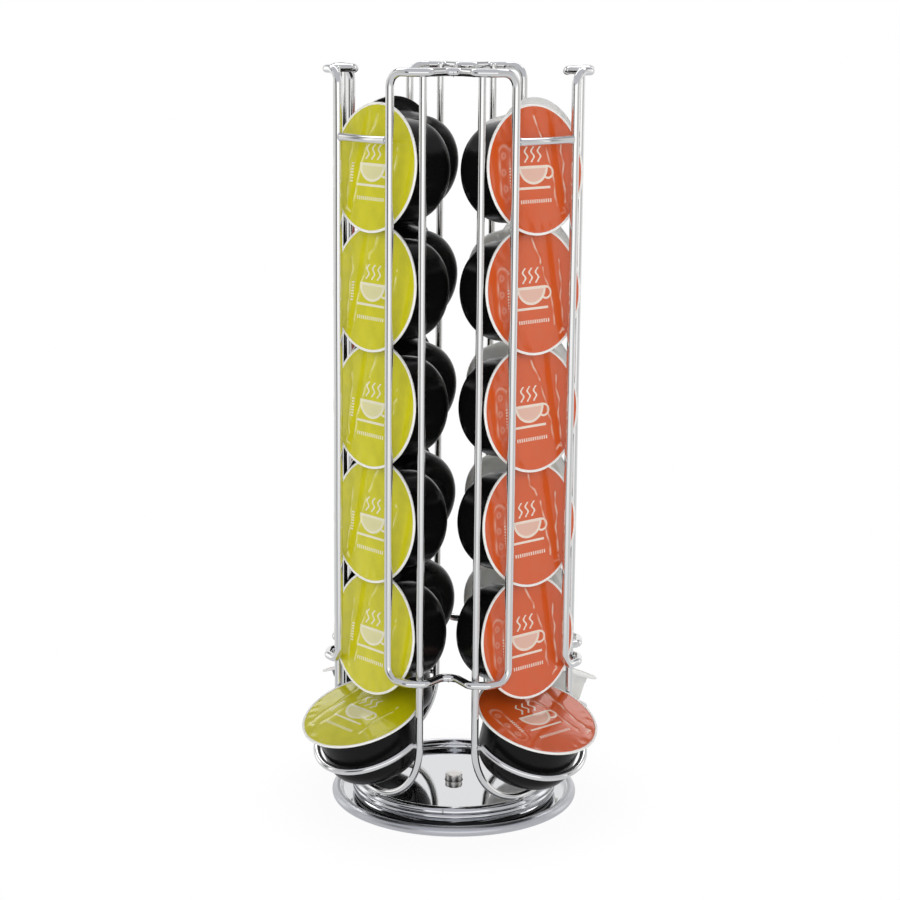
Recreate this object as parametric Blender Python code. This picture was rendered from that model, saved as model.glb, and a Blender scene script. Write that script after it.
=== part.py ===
"""Revolving wire dispenser for 24 coffee capsules, built on a turntable base.

Metres, +Z up. The origin is the middle of the underside, on the turning axis.
Four columns stand on the diagonals. Each side between two columns has a closed
wire loop, and each column has one long U-shaped rail with a cradle at its foot.
"""

import math

import bmesh
import bpy
from mathutils import Matrix, Vector

MM = 0.001

# Clearance between pieces that touch or are welded on the real dispenser
SEAT_GAP = 0.3 * MM
MERGE_DISTANCE = 0.0003 * MM

# How round the facets are
WIRE_BEVEL_RESOLUTION = 2
RAIL_BEND_STEPS = 10
LOOP_CORNER_STEPS = 3
LOOP_KINK_STEPS = 2
CRADLE_STEPS = 10
RETAINER_STEPS = 4
CUP_SHOULDER_STEPS = 3
PLATE_FILLET_STEPS = 2
CURL_STEPS = 5
BASE_ROLL_STEPS = 6
CAPSULE_SEGMENTS = 16
DISC_SEGMENTS = 36
PIN_SEGMENTS = 16
CREASE_DEGREES = 35
MITRE_LIMIT_SHARE = 0.5

# Wires
LOOP_WIRE_RADIUS = 1.75 * MM
RAIL_WIRE_RADIUS = 1.6 * MM
CRADLE_WIRE_RADIUS = 1.6 * MM
RETAINER_WIRE_RADIUS = 1.6 * MM

# Capsule: the flange stands out round the cup's mouth, and the cup tapers to a round shoulder
LID_RADIUS = 27.0 * MM
FLANGE_WIDTH = 4.3 * MM
FLANGE_THICKNESS = 0.9 * MM
CUP_DRAFT = 1.1 * MM
CUP_SHOULDER_RADIUS = 9.0 * MM
CAPSULES_PER_COLUMN = 6

# From a cup's shoulder to the plane halfway between its column and the next one
COLUMN_CLEARANCE = 1.96 * MM

# Turntable: a mirror plate with a curled rim
SHEET_THICKNESS = 0.8 * MM
TURNTABLE_RADIUS = 46.0 * MM
TURNTABLE_CURL_RADIUS = 2.2 * MM
TURNTABLE_TOP_HEIGHT = 10.9 * MM
TURNTABLE_PLATE_HEIGHT = 6.9 * MM
TURNTABLE_FILLET_RADIUS = 1.2 * MM

# Column, in its own frame: X points outward, Y across, Z up
RAIL_OFFSET_FROM_CURL = 1.0 * MM
RAIL_SPREAD_PAST_LID = 1.0 * MM
FLANGE_PLAY_AT_RAIL = 0.5 * MM
CHANNEL_WIDTH = 4.88 * MM
POST_HALF_SPACING = 16.83 * MM
STACK_TILT_DEGREES = 6.3
STACK_PLAY = 0.37 * MM
STACK_REST_GAP = 0.45 * MM

# Lowest capsule, which lies in the cradle with its lid leaning outward
CRADLED_LID_OFFSET = 9.2 * MM
CRADLED_CUP_RISE = 12.4 * MM
CRADLED_LEAN_DEGREES = 20.3

# Cradle: a half ring below the flange of the lowest capsule
CRADLE_DEPTH = 12.2 * MM
CRADLE_INSET = 1.9 * MM
CRADLE_PLAY = 0.43 * MM
CRADLE_LEAN_DEGREES = 27.3

# Side loops: the rod at each end rests on two rails and is drawn in between them
LOOP_HEADROOM = 39.7 * MM
LOOP_BOTTOM_RISE = 18.0 * MM
LOOP_RAIL_GAP = 0.39 * MM
LOOP_SHOULDER_PAST_RAIL = 5.62 * MM
LOOP_SADDLE_INSIDE_RAIL = 2.38 * MM
LOOP_RECESS_DEPTH = 9.8 * MM
LOOP_RECESS_WIDTH_SHARE = 0.316
LOOP_CORNER_RADIUS = 6.0 * MM
LOOP_KINK_RADIUS = 4.0 * MM
RAIL_END_RISE = 1.0 * MM

# Retainer: a bowed bar across the lid of the top capsule
RETAINER_RISE = 12.1 * MM
RETAINER_BOW = 1.2 * MM

# Base: a pressed dish with a rolled rim, on a foot ring
BASE_MARGIN = 9.3 * MM
BASE_ROLL_RADIUS = 2.3 * MM
BASE_ROLL_CENTRE_HEIGHT = 3.2 * MM
BASE_ROLL_END_DEGREES = -110
BASE_FLOOR_HEIGHT = 2.2 * MM
BOSS_HEIGHT = 3.5 * MM
BOSS_RADIUS = 9.0 * MM
BOSS_SLOPE = 2.0 * MM
FOOT_INSET = 7.3 * MM
FOOT_WIDTH = 10.0 * MM

# Slip ring: a clear plastic ring inside the turntable's skirt, with an upstand in its curl
SLIP_RING_WIDTH = 5.7 * MM
SLIP_RING_FLANGE_THICKNESS = 1.6 * MM
SLIP_RING_UPSTAND_THICKNESS = 1.2 * MM

# Pivot
PIN_RADIUS = 3.85 * MM
PIN_TOP_HEIGHT = 9.8 * MM
PIN_CHAMFER = 0.3 * MM
SHANK_RADIUS = 2.3 * MM
WASHER_RADIUS = 8.5 * MM
NUT_THICKNESS = 1.7 * MM
NUT_CORNER_RADIUS = 4.5 * MM
NUT_SIDES = 6

# Directions that the columns and the sides face, in degrees about Z
COLUMN_DEGREES = {"front_left": 225, "front_right": -45, "back_right": 45, "back_left": 135}
SIDE_DEGREES = {"front": -90, "right": 0, "back": 90, "left": 180}
EIGHTH_TURN_SHARE = math.sin(math.radians(45))

# Colours as linear red, green, blue
CHROME = (0.78, 0.79, 0.80)
STEEL = (0.55, 0.56, 0.57)
CLEAR_PLASTIC = (0.62, 0.70, 0.78)
RUBBER = (0.02, 0.02, 0.022)
BLACK_CUP = (0.010, 0.010, 0.011)
GREY_CUP = (0.30, 0.29, 0.27)
LID_COLOURS = {"front_left": (0.56, 0.53, 0.022), "front_right": (0.58, 0.085, 0.030),
               "back_right": (0.50, 0.46, 0.38), "back_left": (0.30, 0.045, 0.020)}
CUP_COLOURS = {"front_left": BLACK_CUP, "front_right": BLACK_CUP,
               "back_right": GREY_CUP, "back_left": BLACK_CUP}


def clear_scene():
    for obj in list(bpy.data.objects):
        bpy.data.objects.remove(obj, do_unlink=True)


def make_material(name, colour, roughness, metallic):
    material = bpy.data.materials.new(name)
    material.use_nodes = True
    shader = material.node_tree.nodes["Principled BSDF"]
    shader.inputs["Base Color"].default_value = (*colour, 1.0)
    shader.inputs["Roughness"].default_value = roughness
    shader.inputs["Metallic"].default_value = metallic
    material.diffuse_color = (*colour, 1.0)
    return material


def chrome_material(name):
    return make_material(name + "_chrome", CHROME, roughness=0.06, metallic=1.0)


def add_object(name, data, materials):
    for material in materials:
        data.materials.append(material)
    obj = bpy.data.objects.new(name, data)
    bpy.context.collection.objects.link(obj)
    return obj


def add_empty(name):
    empty = bpy.data.objects.new(name, None)
    empty.empty_display_size = TURNTABLE_RADIUS
    bpy.context.collection.objects.link(empty)
    return empty


def arc(centre, radius, start, end, steps):
    """Points on an arc in a plane, both ends included."""
    points = []
    for step in range(steps + 1):
        angle = start + (end - start) * step / steps
        points.append((centre[0] + radius * math.cos(angle), centre[1] + radius * math.sin(angle)))
    return points


def fillet(before, corner, after, radius, steps):
    """Points of the arc that rounds a corner in space."""
    back = (before - corner).normalized()
    ahead = (after - corner).normalized()
    opening = back.angle(ahead)
    centre = corner + (back + ahead).normalized() * radius / math.sin(opening / 2)
    reach = radius / math.tan(opening / 2)
    start = corner + back * reach - centre
    end = corner + ahead * reach - centre
    turn = math.pi - opening
    points = []
    for step in range(steps + 1):
        share = step / steps
        spoke = start * math.sin((1 - share) * turn) + end * math.sin(share * turn)
        points.append(centre + spoke / math.sin(turn))
    return points


def fitted_radii(corners):
    """The corners' radii, made smaller where two neighbours wouldn't fit on the straight between them."""
    count = len(corners)
    reaches = []
    for index, (corner, radius, steps) in enumerate(corners):
        back = corners[index - 1][0] - corner
        ahead = corners[(index + 1) % count][0] - corner
        reaches.append(radius / math.tan(back.angle(ahead) / 2))
    shares = [1.0] * count
    for index in range(count):
        after = (index + 1) % count
        straight = (corners[after][0] - corners[index][0]).length
        share = min(1.0, straight / (reaches[index] + reaches[after]))
        shares[index] = min(shares[index], share)
        shares[after] = min(shares[after], share)
    return [radius * share for (corner, radius, steps), share in zip(corners, shares)]


def rounded_loop(corners):
    """A closed path through (point, radius, steps) corners."""
    points = []
    radii = fitted_radii(corners)
    for index, (corner, wanted_radius, steps) in enumerate(corners):
        before = corners[index - 1][0]
        after = corners[(index + 1) % len(corners)][0]
        points.extend(fillet(before, corner, after, radii[index], steps))
    return points


def wire(name, points, radius, closed):
    """A round wire along a path, with flat ends where the path is open."""
    curve = bpy.data.curves.new(name, "CURVE")
    curve.dimensions = "3D"
    curve.bevel_depth = radius
    curve.bevel_resolution = WIRE_BEVEL_RESOLUTION
    curve.use_fill_caps = not closed
    spline = curve.splines.new("POLY")
    spline.points.add(len(points) - 1)
    for point, place in zip(spline.points, points):
        point.co = (*place, 1.0)
    spline.use_cyclic_u = closed
    return add_object(name, curve, [chrome_material(name)])


def sheet_outline(path, thickness):
    """The closed section of a sheet that follows a path of (radius, height) points."""
    points = [Vector(point) for point in path]
    left = []
    right = []
    for index, point in enumerate(points):
        before = points[max(index - 1, 0)]
        after = points[min(index + 1, len(points) - 1)]
        into = (point - before).normalized() if index else (after - point).normalized()
        out = (after - point).normalized() if index < len(points) - 1 else into
        along = (into + out).normalized()
        normal = Vector((-along.y, along.x))
        reach = thickness / 2 / max(along.dot(into), MITRE_LIMIT_SHARE)
        left.append(point + normal * reach)
        right.append(point - normal * reach)
    return left + right[::-1]


def revolve(name, section, segments, materials):
    """Turn a closed (radius, height) section about the Z axis."""
    mesh = bmesh.new()
    vertices = [mesh.verts.new((point[0], 0, point[1])) for point in section]
    count = len(vertices)
    edges = []
    for index in range(count):
        start = vertices[index]
        end = vertices[(index + 1) % count]
        on_axis = section[index][0] == 0 and section[(index + 1) % count][0] == 0
        if not on_axis:
            edges.append(mesh.edges.new((start, end)))
    bmesh.ops.spin(mesh, geom=vertices + edges, cent=(0, 0, 0), axis=(0, 0, 1),
                   angle=math.tau, steps=segments, use_merge=True)
    bmesh.ops.remove_doubles(mesh, verts=mesh.verts, dist=MERGE_DISTANCE)
    bmesh.ops.recalc_face_normals(mesh, faces=mesh.faces)
    data = bpy.data.meshes.new(name)
    mesh.to_mesh(data)
    mesh.free()
    data.shade_smooth()
    data.set_sharp_from_angle(angle=math.radians(CREASE_DEGREES))
    return add_object(name, data, materials)


def cup_mouth_radius():
    return LID_RADIUS - FLANGE_WIDTH


def capsule_length():
    """The cups reach in from the rails until their shoulders nearly meet those of the next column."""
    wall_radius = cup_mouth_radius() - CUP_DRAFT
    cut_off = CUP_SHOULDER_RADIUS * (2 - 1 / EIGHTH_TURN_SHARE)
    return stack_lid_distance() - wall_radius + cut_off - COLUMN_CLEARANCE / EIGHTH_TURN_SHARE


def cup_wall_length():
    """Depth of the straight tapered wall between the flange and the shoulder."""
    return capsule_length() - CUP_SHOULDER_RADIUS - FLANGE_THICKNESS


def cup_radius_at(depth):
    """Outside radius of the tapered cup at a depth below the lid."""
    return cup_mouth_radius() - CUP_DRAFT * (depth - FLANGE_THICKNESS) / cup_wall_length()


def capsule_section():
    """Lid centre at the origin, facing +Z, with the cup below it."""
    wall_foot = capsule_length() - CUP_SHOULDER_RADIUS
    end_radius = cup_radius_at(wall_foot) - CUP_SHOULDER_RADIUS
    shoulder = arc((end_radius, -wall_foot), CUP_SHOULDER_RADIUS, 0, -math.pi / 2, CUP_SHOULDER_STEPS)
    rim = [(0, 0), (LID_RADIUS, 0), (LID_RADIUS, -FLANGE_THICKNESS), (cup_mouth_radius(), -FLANGE_THICKNESS)]
    return rim + shoulder + [(0, -capsule_length())]


def column_matrix(column):
    return Matrix.Rotation(math.radians(COLUMN_DEGREES[column]), 4, "Z")


def side_place(outward, across):
    """A place beside a column's middle, as (outward, across) in the frame of the side next to it."""
    return (outward + across) * EIGHTH_TURN_SHARE, (outward - across) * EIGHTH_TURN_SHARE


def rail_distance():
    """The rails stand just outside the middle of the turntable's curled rim."""
    return TURNTABLE_RADIUS - TURNTABLE_CURL_RADIUS + RAIL_OFFSET_FROM_CURL


def rail_half_spacing():
    return LID_RADIUS + RAIL_SPREAD_PAST_LID


def stack_lid_distance():
    """The flanges of the upright capsules slide down the outer side of the rails."""
    return rail_distance() + RAIL_WIRE_RADIUS + FLANGE_PLAY_AT_RAIL + FLANGE_THICKNESS


def post_distance():
    """The loop posts close the channel in which the flanges slide."""
    return rail_distance() + RAIL_WIRE_RADIUS + CHANNEL_WIDTH + LOOP_WIRE_RADIUS


def stack_pitch():
    """Rise from one upright capsule to the next, whose cup clears the flange below it."""
    tilt = math.radians(STACK_TILT_DEGREES)
    taper = CUP_DRAFT / cup_wall_length()
    across = LID_RADIUS + cup_mouth_radius() + taper * FLANGE_THICKNESS + STACK_PLAY
    return across / (math.cos(tilt) + taper * math.sin(tilt))


def capsule_reach(turn, direction):
    """How far a capsule turned about Y reaches from its lid centre in a direction of the XZ plane."""
    axis = Vector((math.sin(turn), 0, math.cos(turn)))
    down = Vector((math.cos(turn), 0, -math.sin(turn)))
    return max((down * radius + axis * height).dot(direction) for radius, height in capsule_section())


def cradled_lid_height():
    """The end of the cradled cup hangs above the foot of the rail."""
    cup_rise = capsule_length() * math.cos(math.radians(CRADLED_LEAN_DEGREES))
    return rail_foot_height() + CRADLED_CUP_RISE + cup_rise


def cradled_lid_place():
    return Vector((rail_distance() + CRADLED_LID_OFFSET, 0, cradled_lid_height()))


def stack_foot_lid_height():
    """Height at which the lowest upright capsule stands on the lid of the cradled one."""
    lean = math.radians(CRADLED_LEAN_DEGREES)
    down = Vector((-math.sin(lean), 0, -math.cos(lean)))
    reach = capsule_reach(math.pi / 2 - math.radians(STACK_TILT_DEGREES), down)
    setback = cradled_lid_place().x - stack_lid_distance()
    return cradled_lid_height() + (reach + STACK_REST_GAP + setback * math.sin(lean)) / math.cos(lean)


def lid_height(number):
    """Capsules are numbered from the top. The last one lies in the cradle."""
    if number == CAPSULES_PER_COLUMN:
        return cradled_lid_height()
    return stack_foot_lid_height() + (CAPSULES_PER_COLUMN - 1 - number) * stack_pitch()


def capsule_matrix(column, number):
    if number < CAPSULES_PER_COLUMN:
        place = Vector((stack_lid_distance(), 0, lid_height(number)))
        turn = math.radians(90 - STACK_TILT_DEGREES)
    else:
        place = cradled_lid_place()
        turn = math.radians(CRADLED_LEAN_DEGREES)
    return column_matrix(column) @ Matrix.Translation(place) @ Matrix.Rotation(turn, 4, "Y")


def build_capsule(column, number):
    name = f"capsule_{column}_{number}"
    cup = make_material(name + "_cup", CUP_COLOURS[column], roughness=0.30, metallic=0.0)
    lid = make_material(name + "_foil", LID_COLOURS[column], roughness=0.22, metallic=0.0)
    capsule = revolve(name, capsule_section(), CAPSULE_SEGMENTS, [cup, lid])
    for face in capsule.data.polygons:
        if face.normal.z > math.cos(math.radians(CREASE_DEGREES)):
            face.material_index = 1
    capsule.matrix_world = capsule_matrix(column, number)
    return capsule


def loop_top_height():
    return lid_height(1) + LOOP_HEADROOM


def rod_corners():
    """Half of the bent rod at a loop's end, from the post inward, as (outward, across, radius, steps)."""
    rail_outward, rail_across = side_place(rail_distance(), rail_half_spacing())
    post_outward, post_across = side_place(post_distance(), POST_HALF_SPACING)
    saddle = rail_outward + RAIL_WIRE_RADIUS + LOOP_WIRE_RADIUS + LOOP_RAIL_GAP
    saddle_across = rail_across - LOOP_SADDLE_INSIDE_RAIL
    return [(post_outward, post_across, LOOP_CORNER_RADIUS, LOOP_CORNER_STEPS),
            (saddle, rail_across + LOOP_SHOULDER_PAST_RAIL, LOOP_KINK_RADIUS, LOOP_KINK_STEPS),
            (saddle, saddle_across, LOOP_KINK_RADIUS, LOOP_KINK_STEPS),
            (saddle - LOOP_RECESS_DEPTH, saddle_across * LOOP_RECESS_WIDTH_SHARE,
             LOOP_KINK_RADIUS, LOOP_KINK_STEPS)]


def build_side_loop(side):
    """Two outer posts joined top and bottom by a rod bent like a brace.

    The rod passes outside the rails on both hands and is drawn in between them.
    """
    half_rod = rod_corners()
    rod = half_rod + [(x, -y, radius, steps) for x, y, radius, steps in reversed(half_rod)]
    top = loop_top_height()
    bottom = cradled_lid_height() + LOOP_BOTTOM_RISE
    corners = [(Vector((x, y, top)), radius, steps) for x, y, radius, steps in rod]
    corners += [(Vector((x, y, bottom)), radius, steps) for x, y, radius, steps in reversed(rod)]
    loop = wire(f"side_loop_{side}", rounded_loop(corners), LOOP_WIRE_RADIUS, closed=True)
    loop.matrix_world = Matrix.Rotation(math.radians(SIDE_DEGREES[side]), 4, "Z")
    return loop


def curl_centre():
    """Middle of the turntable's curled rim, as (radius, height)."""
    return (TURNTABLE_RADIUS - TURNTABLE_CURL_RADIUS, TURNTABLE_TOP_HEIGHT - TURNTABLE_CURL_RADIUS)


def rail_foot_height():
    """Height of the rail's axis where its bend rests on the curled rim."""
    radius, height = curl_centre()
    contact = TURNTABLE_CURL_RADIUS + RAIL_WIRE_RADIUS + SEAT_GAP
    return height + math.sqrt(contact ** 2 - (rail_distance() - radius) ** 2)


def build_rail(column):
    """Two long inner rails joined by a half-round bend at the foot."""
    half = rail_half_spacing()
    top = loop_top_height() + RAIL_END_RISE
    bend = arc((0, rail_foot_height() + half), half, math.pi, math.tau, RAIL_BEND_STEPS)
    path = [(-half, top)] + bend + [(half, top)]
    points = [Vector((rail_distance(), across, height)) for across, height in path]
    rail = wire(f"column_rail_{column}", points, RAIL_WIRE_RADIUS, closed=False)
    rail.matrix_world = column_matrix(column)
    return rail


def cradle_ring_point(angle):
    """A point of the half ring that holds the lowest cup, in the column's frame."""
    lid_lean = math.radians(CRADLED_LEAN_DEGREES)
    outward = Vector((math.cos(lid_lean), 0, -math.sin(lid_lean)))
    normal = Vector((math.sin(lid_lean), 0, math.cos(lid_lean)))
    centre = cradled_lid_place() - normal * CRADLE_DEPTH - outward * CRADLE_INSET
    radius = cup_radius_at(CRADLE_DEPTH) + CRADLE_PLAY + CRADLE_WIRE_RADIUS + CRADLE_INSET
    ring_lean = math.radians(CRADLE_LEAN_DEGREES)
    ring_outward = Vector((math.cos(ring_lean), 0, -math.sin(ring_lean)))
    across = Vector((0, 1, 0))
    return centre + (ring_outward * math.cos(angle) + across * math.sin(angle)) * radius


def cradle_weld_point(end):
    """Where the wire that leaves the half ring at this end meets its rail."""
    rail = Vector((rail_distance(), math.copysign(rail_half_spacing(), end.y), end.z))
    reach = (rail - end).length - RAIL_WIRE_RADIUS - SEAT_GAP
    return end + (rail - end).normalized() * reach


def build_cradle(column):
    """A half ring whose ends are welded to the front of the two rails."""
    quarter = math.pi / 2
    ring = []
    for step in range(CRADLE_STEPS + 1):
        ring.append(cradle_ring_point(math.pi * step / CRADLE_STEPS - quarter))
    points = [cradle_weld_point(ring[0])] + ring + [cradle_weld_point(ring[-1])]
    cradle = wire(f"cradle_{column}", points, CRADLE_WIRE_RADIUS, closed=False)
    cradle.matrix_world = column_matrix(column)
    return cradle


def build_retainer(column):
    """A bowed bar between the two posts in front of the top lid."""
    half_length = POST_HALF_SPACING - LOOP_WIRE_RADIUS - SEAT_GAP
    height = lid_height(1) + RETAINER_RISE
    points = []
    for step in range(RETAINER_STEPS + 1):
        share = 2 * step / RETAINER_STEPS - 1
        bow = RETAINER_BOW * (1 - share ** 2)
        points.append(Vector((post_distance() + bow, share * half_length, height)))
    retainer = wire(f"retainer_bar_{column}", points, RETAINER_WIRE_RADIUS, closed=False)
    retainer.matrix_world = column_matrix(column)
    return retainer


def slip_ring_ledge():
    """Height of the flat ring that runs under the turntable's skirt."""
    return BASE_FLOOR_HEIGHT + SEAT_GAP + SLIP_RING_FLANGE_THICKNESS


def build_turntable():
    """A flat plate whose edge rises, curls over the slip ring and ends in a skirt."""
    plate = TURNTABLE_PLATE_HEIGHT - SHEET_THICKNESS / 2
    radius, height = curl_centre()
    bend = TURNTABLE_CURL_RADIUS - SHEET_THICKNESS / 2
    bore = PIN_RADIUS + SEAT_GAP
    foot = (radius - bend - TURNTABLE_FILLET_RADIUS, plate + TURNTABLE_FILLET_RADIUS)
    path = [(bore, plate)] + arc(foot, TURNTABLE_FILLET_RADIUS, -math.pi / 2, 0, PLATE_FILLET_STEPS)
    path += arc((radius, height), bend, math.pi, 0, CURL_STEPS)
    path += [(radius + bend, slip_ring_ledge() + SEAT_GAP)]
    section = sheet_outline(path, SHEET_THICKNESS)
    return revolve("turntable_plate", section, DISC_SEGMENTS, [chrome_material("turntable_plate")])


def base_radius():
    return TURNTABLE_RADIUS + BASE_MARGIN


def build_base_dish():
    """A shallow dish with a raised boss for the pivot and a rolled rim."""
    floor = BASE_FLOOR_HEIGHT - SHEET_THICKNESS / 2
    boss = BOSS_HEIGHT - SHEET_THICKNESS / 2
    bend = BASE_ROLL_RADIUS - SHEET_THICKNESS / 2
    roll = (base_radius() - BASE_ROLL_RADIUS, BASE_ROLL_CENTRE_HEIGHT)
    path = [(SHANK_RADIUS + SEAT_GAP, boss), (BOSS_RADIUS, boss), (BOSS_RADIUS + BOSS_SLOPE, floor),
            (roll[0] - bend - SHEET_THICKNESS, floor)]
    path += arc(roll, bend, math.pi, math.radians(BASE_ROLL_END_DEGREES), BASE_ROLL_STEPS)
    section = sheet_outline(path, SHEET_THICKNESS)
    return revolve("base_dish", section, DISC_SEGMENTS, [chrome_material("base_dish")])


def build_foot_ring():
    top = BASE_FLOOR_HEIGHT - SHEET_THICKNESS - SEAT_GAP
    outer = base_radius() - FOOT_INSET
    inner = outer - FOOT_WIDTH
    section = [(inner, 0), (outer, 0), (outer, top), (inner, top)]
    rubber = make_material("foot_ring_rubber", RUBBER, roughness=0.85, metallic=0.0)
    return revolve("foot_ring", section, DISC_SEGMENTS, [rubber])


def build_slip_ring():
    """A flat ring on the dish, with an upstand that carries the curled rim."""
    low = BASE_FLOOR_HEIGHT + SEAT_GAP
    ledge = slip_ring_ledge()
    radius, height = curl_centre()
    inside = TURNTABLE_CURL_RADIUS - SHEET_THICKNESS
    half = SLIP_RING_UPSTAND_THICKNESS / 2
    top = height + math.sqrt(inside ** 2 - half ** 2) - SEAT_GAP
    outer = TURNTABLE_RADIUS - SHEET_THICKNESS
    inner = outer - SLIP_RING_WIDTH
    section = [(inner, low), (outer, low), (outer, ledge), (radius + half, ledge), (radius + half, top),
               (radius - half, top), (radius - half, ledge), (inner, ledge)]
    plastic = make_material("slip_ring_plastic", CLEAR_PLASTIC, roughness=0.25, metallic=0.0)
    return revolve("slip_ring", section, DISC_SEGMENTS, [plastic])


def build_pivot_pin():
    """The bright stub in the middle of the plate, with its shank through the dish."""
    seat = BOSS_HEIGHT + SEAT_GAP
    low = BOSS_HEIGHT - SHEET_THICKNESS - NUT_THICKNESS - SEAT_GAP
    section = [(0, PIN_TOP_HEIGHT), (PIN_RADIUS - PIN_CHAMFER, PIN_TOP_HEIGHT),
               (PIN_RADIUS, PIN_TOP_HEIGHT - PIN_CHAMFER), (PIN_RADIUS, seat),
               (SHANK_RADIUS, seat), (SHANK_RADIUS, low), (0, low)]
    steel = make_material("pivot_pin_steel", STEEL, roughness=0.22, metallic=1.0)
    return revolve("pivot_pin", section, PIN_SEGMENTS, [steel])


def build_pivot_washer():
    low = BOSS_HEIGHT + SEAT_GAP
    top = TURNTABLE_PLATE_HEIGHT - SHEET_THICKNESS - SEAT_GAP
    bore = PIN_RADIUS + SEAT_GAP
    section = [(bore, low), (WASHER_RADIUS, low), (WASHER_RADIUS, top), (bore, top)]
    plastic = make_material("pivot_washer_plastic", CLEAR_PLASTIC, roughness=0.35, metallic=0.0)
    return revolve("pivot_washer", section, PIN_SEGMENTS, [plastic])


def build_pivot_nut():
    """A hexagon nut under the boss of the dish."""
    top = BOSS_HEIGHT - SHEET_THICKNESS - SEAT_GAP
    low = top - NUT_THICKNESS
    bore = SHANK_RADIUS + SEAT_GAP
    mesh = bmesh.new()
    steps = 2 * NUT_SIDES
    rings = []
    for height in (low, top):
        inner = []
        outer = []
        for step in range(steps):
            angle = math.tau * step / steps
            flat = NUT_CORNER_RADIUS * (math.cos(math.pi / NUT_SIDES) if step % 2 else 1)
            inner.append(mesh.verts.new((bore * math.cos(angle), bore * math.sin(angle), height)))
            outer.append(mesh.verts.new((flat * math.cos(angle), flat * math.sin(angle), height)))
        rings.append((inner, outer))
    (low_in, low_out), (top_in, top_out) = rings
    for step in range(steps):
        after = (step + 1) % steps
        mesh.faces.new((top_in[step], top_out[step], top_out[after], top_in[after]))
        mesh.faces.new((low_in[step], low_in[after], low_out[after], low_out[step]))
        mesh.faces.new((low_out[step], low_out[after], top_out[after], top_out[step]))
        mesh.faces.new((low_in[step], top_in[step], top_in[after], low_in[after]))
    bmesh.ops.recalc_face_normals(mesh, faces=mesh.faces)
    data = bpy.data.meshes.new("pivot_nut")
    mesh.to_mesh(data)
    mesh.free()
    steel = make_material("pivot_nut_steel", STEEL, roughness=0.35, metallic=1.0)
    return add_object("pivot_nut", data, [steel])


def parent_keeping_place(obj, parent):
    bpy.context.view_layer.update()
    place = obj.matrix_world.copy()
    obj.parent = parent
    obj.matrix_parent_inverse = parent.matrix_world.inverted()
    obj.matrix_world = place


def build_column(column, rack):
    """The column's wires turn with the rack, and its capsules stand on each other."""
    for piece in (build_rail(column), build_cradle(column), build_retainer(column)):
        parent_keeping_place(piece, rack)
    cradled = build_capsule(column, CAPSULES_PER_COLUMN)
    parent_keeping_place(cradled, rack)
    below = rack
    for number in range(CAPSULES_PER_COLUMN - 1, 0, -1):
        capsule = build_capsule(column, number)
        parent_keeping_place(capsule, below)
        below = capsule


def main():
    clear_scene()
    rack = add_empty("rack_axis")
    build_base_dish()
    build_foot_ring()
    build_slip_ring()
    build_pivot_pin()
    build_pivot_nut()
    parent_keeping_place(build_pivot_washer(), rack)
    parent_keeping_place(build_turntable(), rack)
    for side in SIDE_DEGREES:
        parent_keeping_place(build_side_loop(side), rack)
    for column in COLUMN_DEGREES:
        build_column(column, rack)


main()
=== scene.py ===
import math

import bmesh
import bpy
import numpy as np
from mathutils import Matrix, Vector


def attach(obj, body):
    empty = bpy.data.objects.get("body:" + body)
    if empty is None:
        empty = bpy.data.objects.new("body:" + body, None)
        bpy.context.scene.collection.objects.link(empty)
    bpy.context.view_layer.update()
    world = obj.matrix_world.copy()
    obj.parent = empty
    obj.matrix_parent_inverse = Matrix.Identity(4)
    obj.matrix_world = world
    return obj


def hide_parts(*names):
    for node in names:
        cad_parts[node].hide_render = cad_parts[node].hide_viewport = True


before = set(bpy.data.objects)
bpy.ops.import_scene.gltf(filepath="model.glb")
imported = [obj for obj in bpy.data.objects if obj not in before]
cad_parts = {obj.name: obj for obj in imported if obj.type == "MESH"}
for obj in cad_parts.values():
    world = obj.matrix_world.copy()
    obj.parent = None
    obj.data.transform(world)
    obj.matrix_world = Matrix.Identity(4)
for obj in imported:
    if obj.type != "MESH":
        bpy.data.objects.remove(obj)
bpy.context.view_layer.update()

mm = 0.001

columnAngles = {"front_left": 225, "front_right": -45, "back_right": 45, "back_left": 135}
sideAngles = {"front": -90, "right": 0, "back": 90, "left": 180}
capsulesPerColumn = 6


def linearColour(hexText, alpha=1.0):
    # sRGB hex to the linear values that shaders use
    channels = [int(hexText[i:i + 2], 16) / 255 for i in (1, 3, 5)]
    linear = [c / 12.92 if c <= 0.04045 else ((c + 0.055) / 1.055) ** 2.4 for c in channels]
    return (*linear, alpha)


def setSockets(tree, node, sockets):
    # a value is plain, another node's socket, or a node, which stands for the first output it has in use
    for name, value in sockets.items():
        if isinstance(value, bpy.types.Node):
            value = next(output for output in value.outputs if output.enabled)
        if isinstance(value, bpy.types.NodeSocket):
            tree.links.new(value, node.inputs[name])
        else:
            node.inputs[name].default_value = value


def addNode(tree, kind, sockets=None, **settings):
    # one node with its settings, its values and its links
    node = tree.nodes.new(kind)
    for name, value in settings.items():
        setattr(node, name, value)
    setSockets(tree, node, sockets or {})
    return node


def newMaterial(name, sockets):
    # a material whose plain values sit on the shader's own sockets
    material = bpy.data.materials.new(name)
    material.use_nodes = True
    tree = material.node_tree
    shader = tree.nodes["Principled BSDF"]
    setSockets(tree, shader, sockets)
    return material, tree, shader


def turnedBy(degrees):
    return Matrix.Rotation(math.radians(degrees), 4, "Z")


def addObject(name, data):
    thing = bpy.data.objects.new(name, data)
    bpy.context.collection.objects.link(thing)
    return thing


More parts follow.
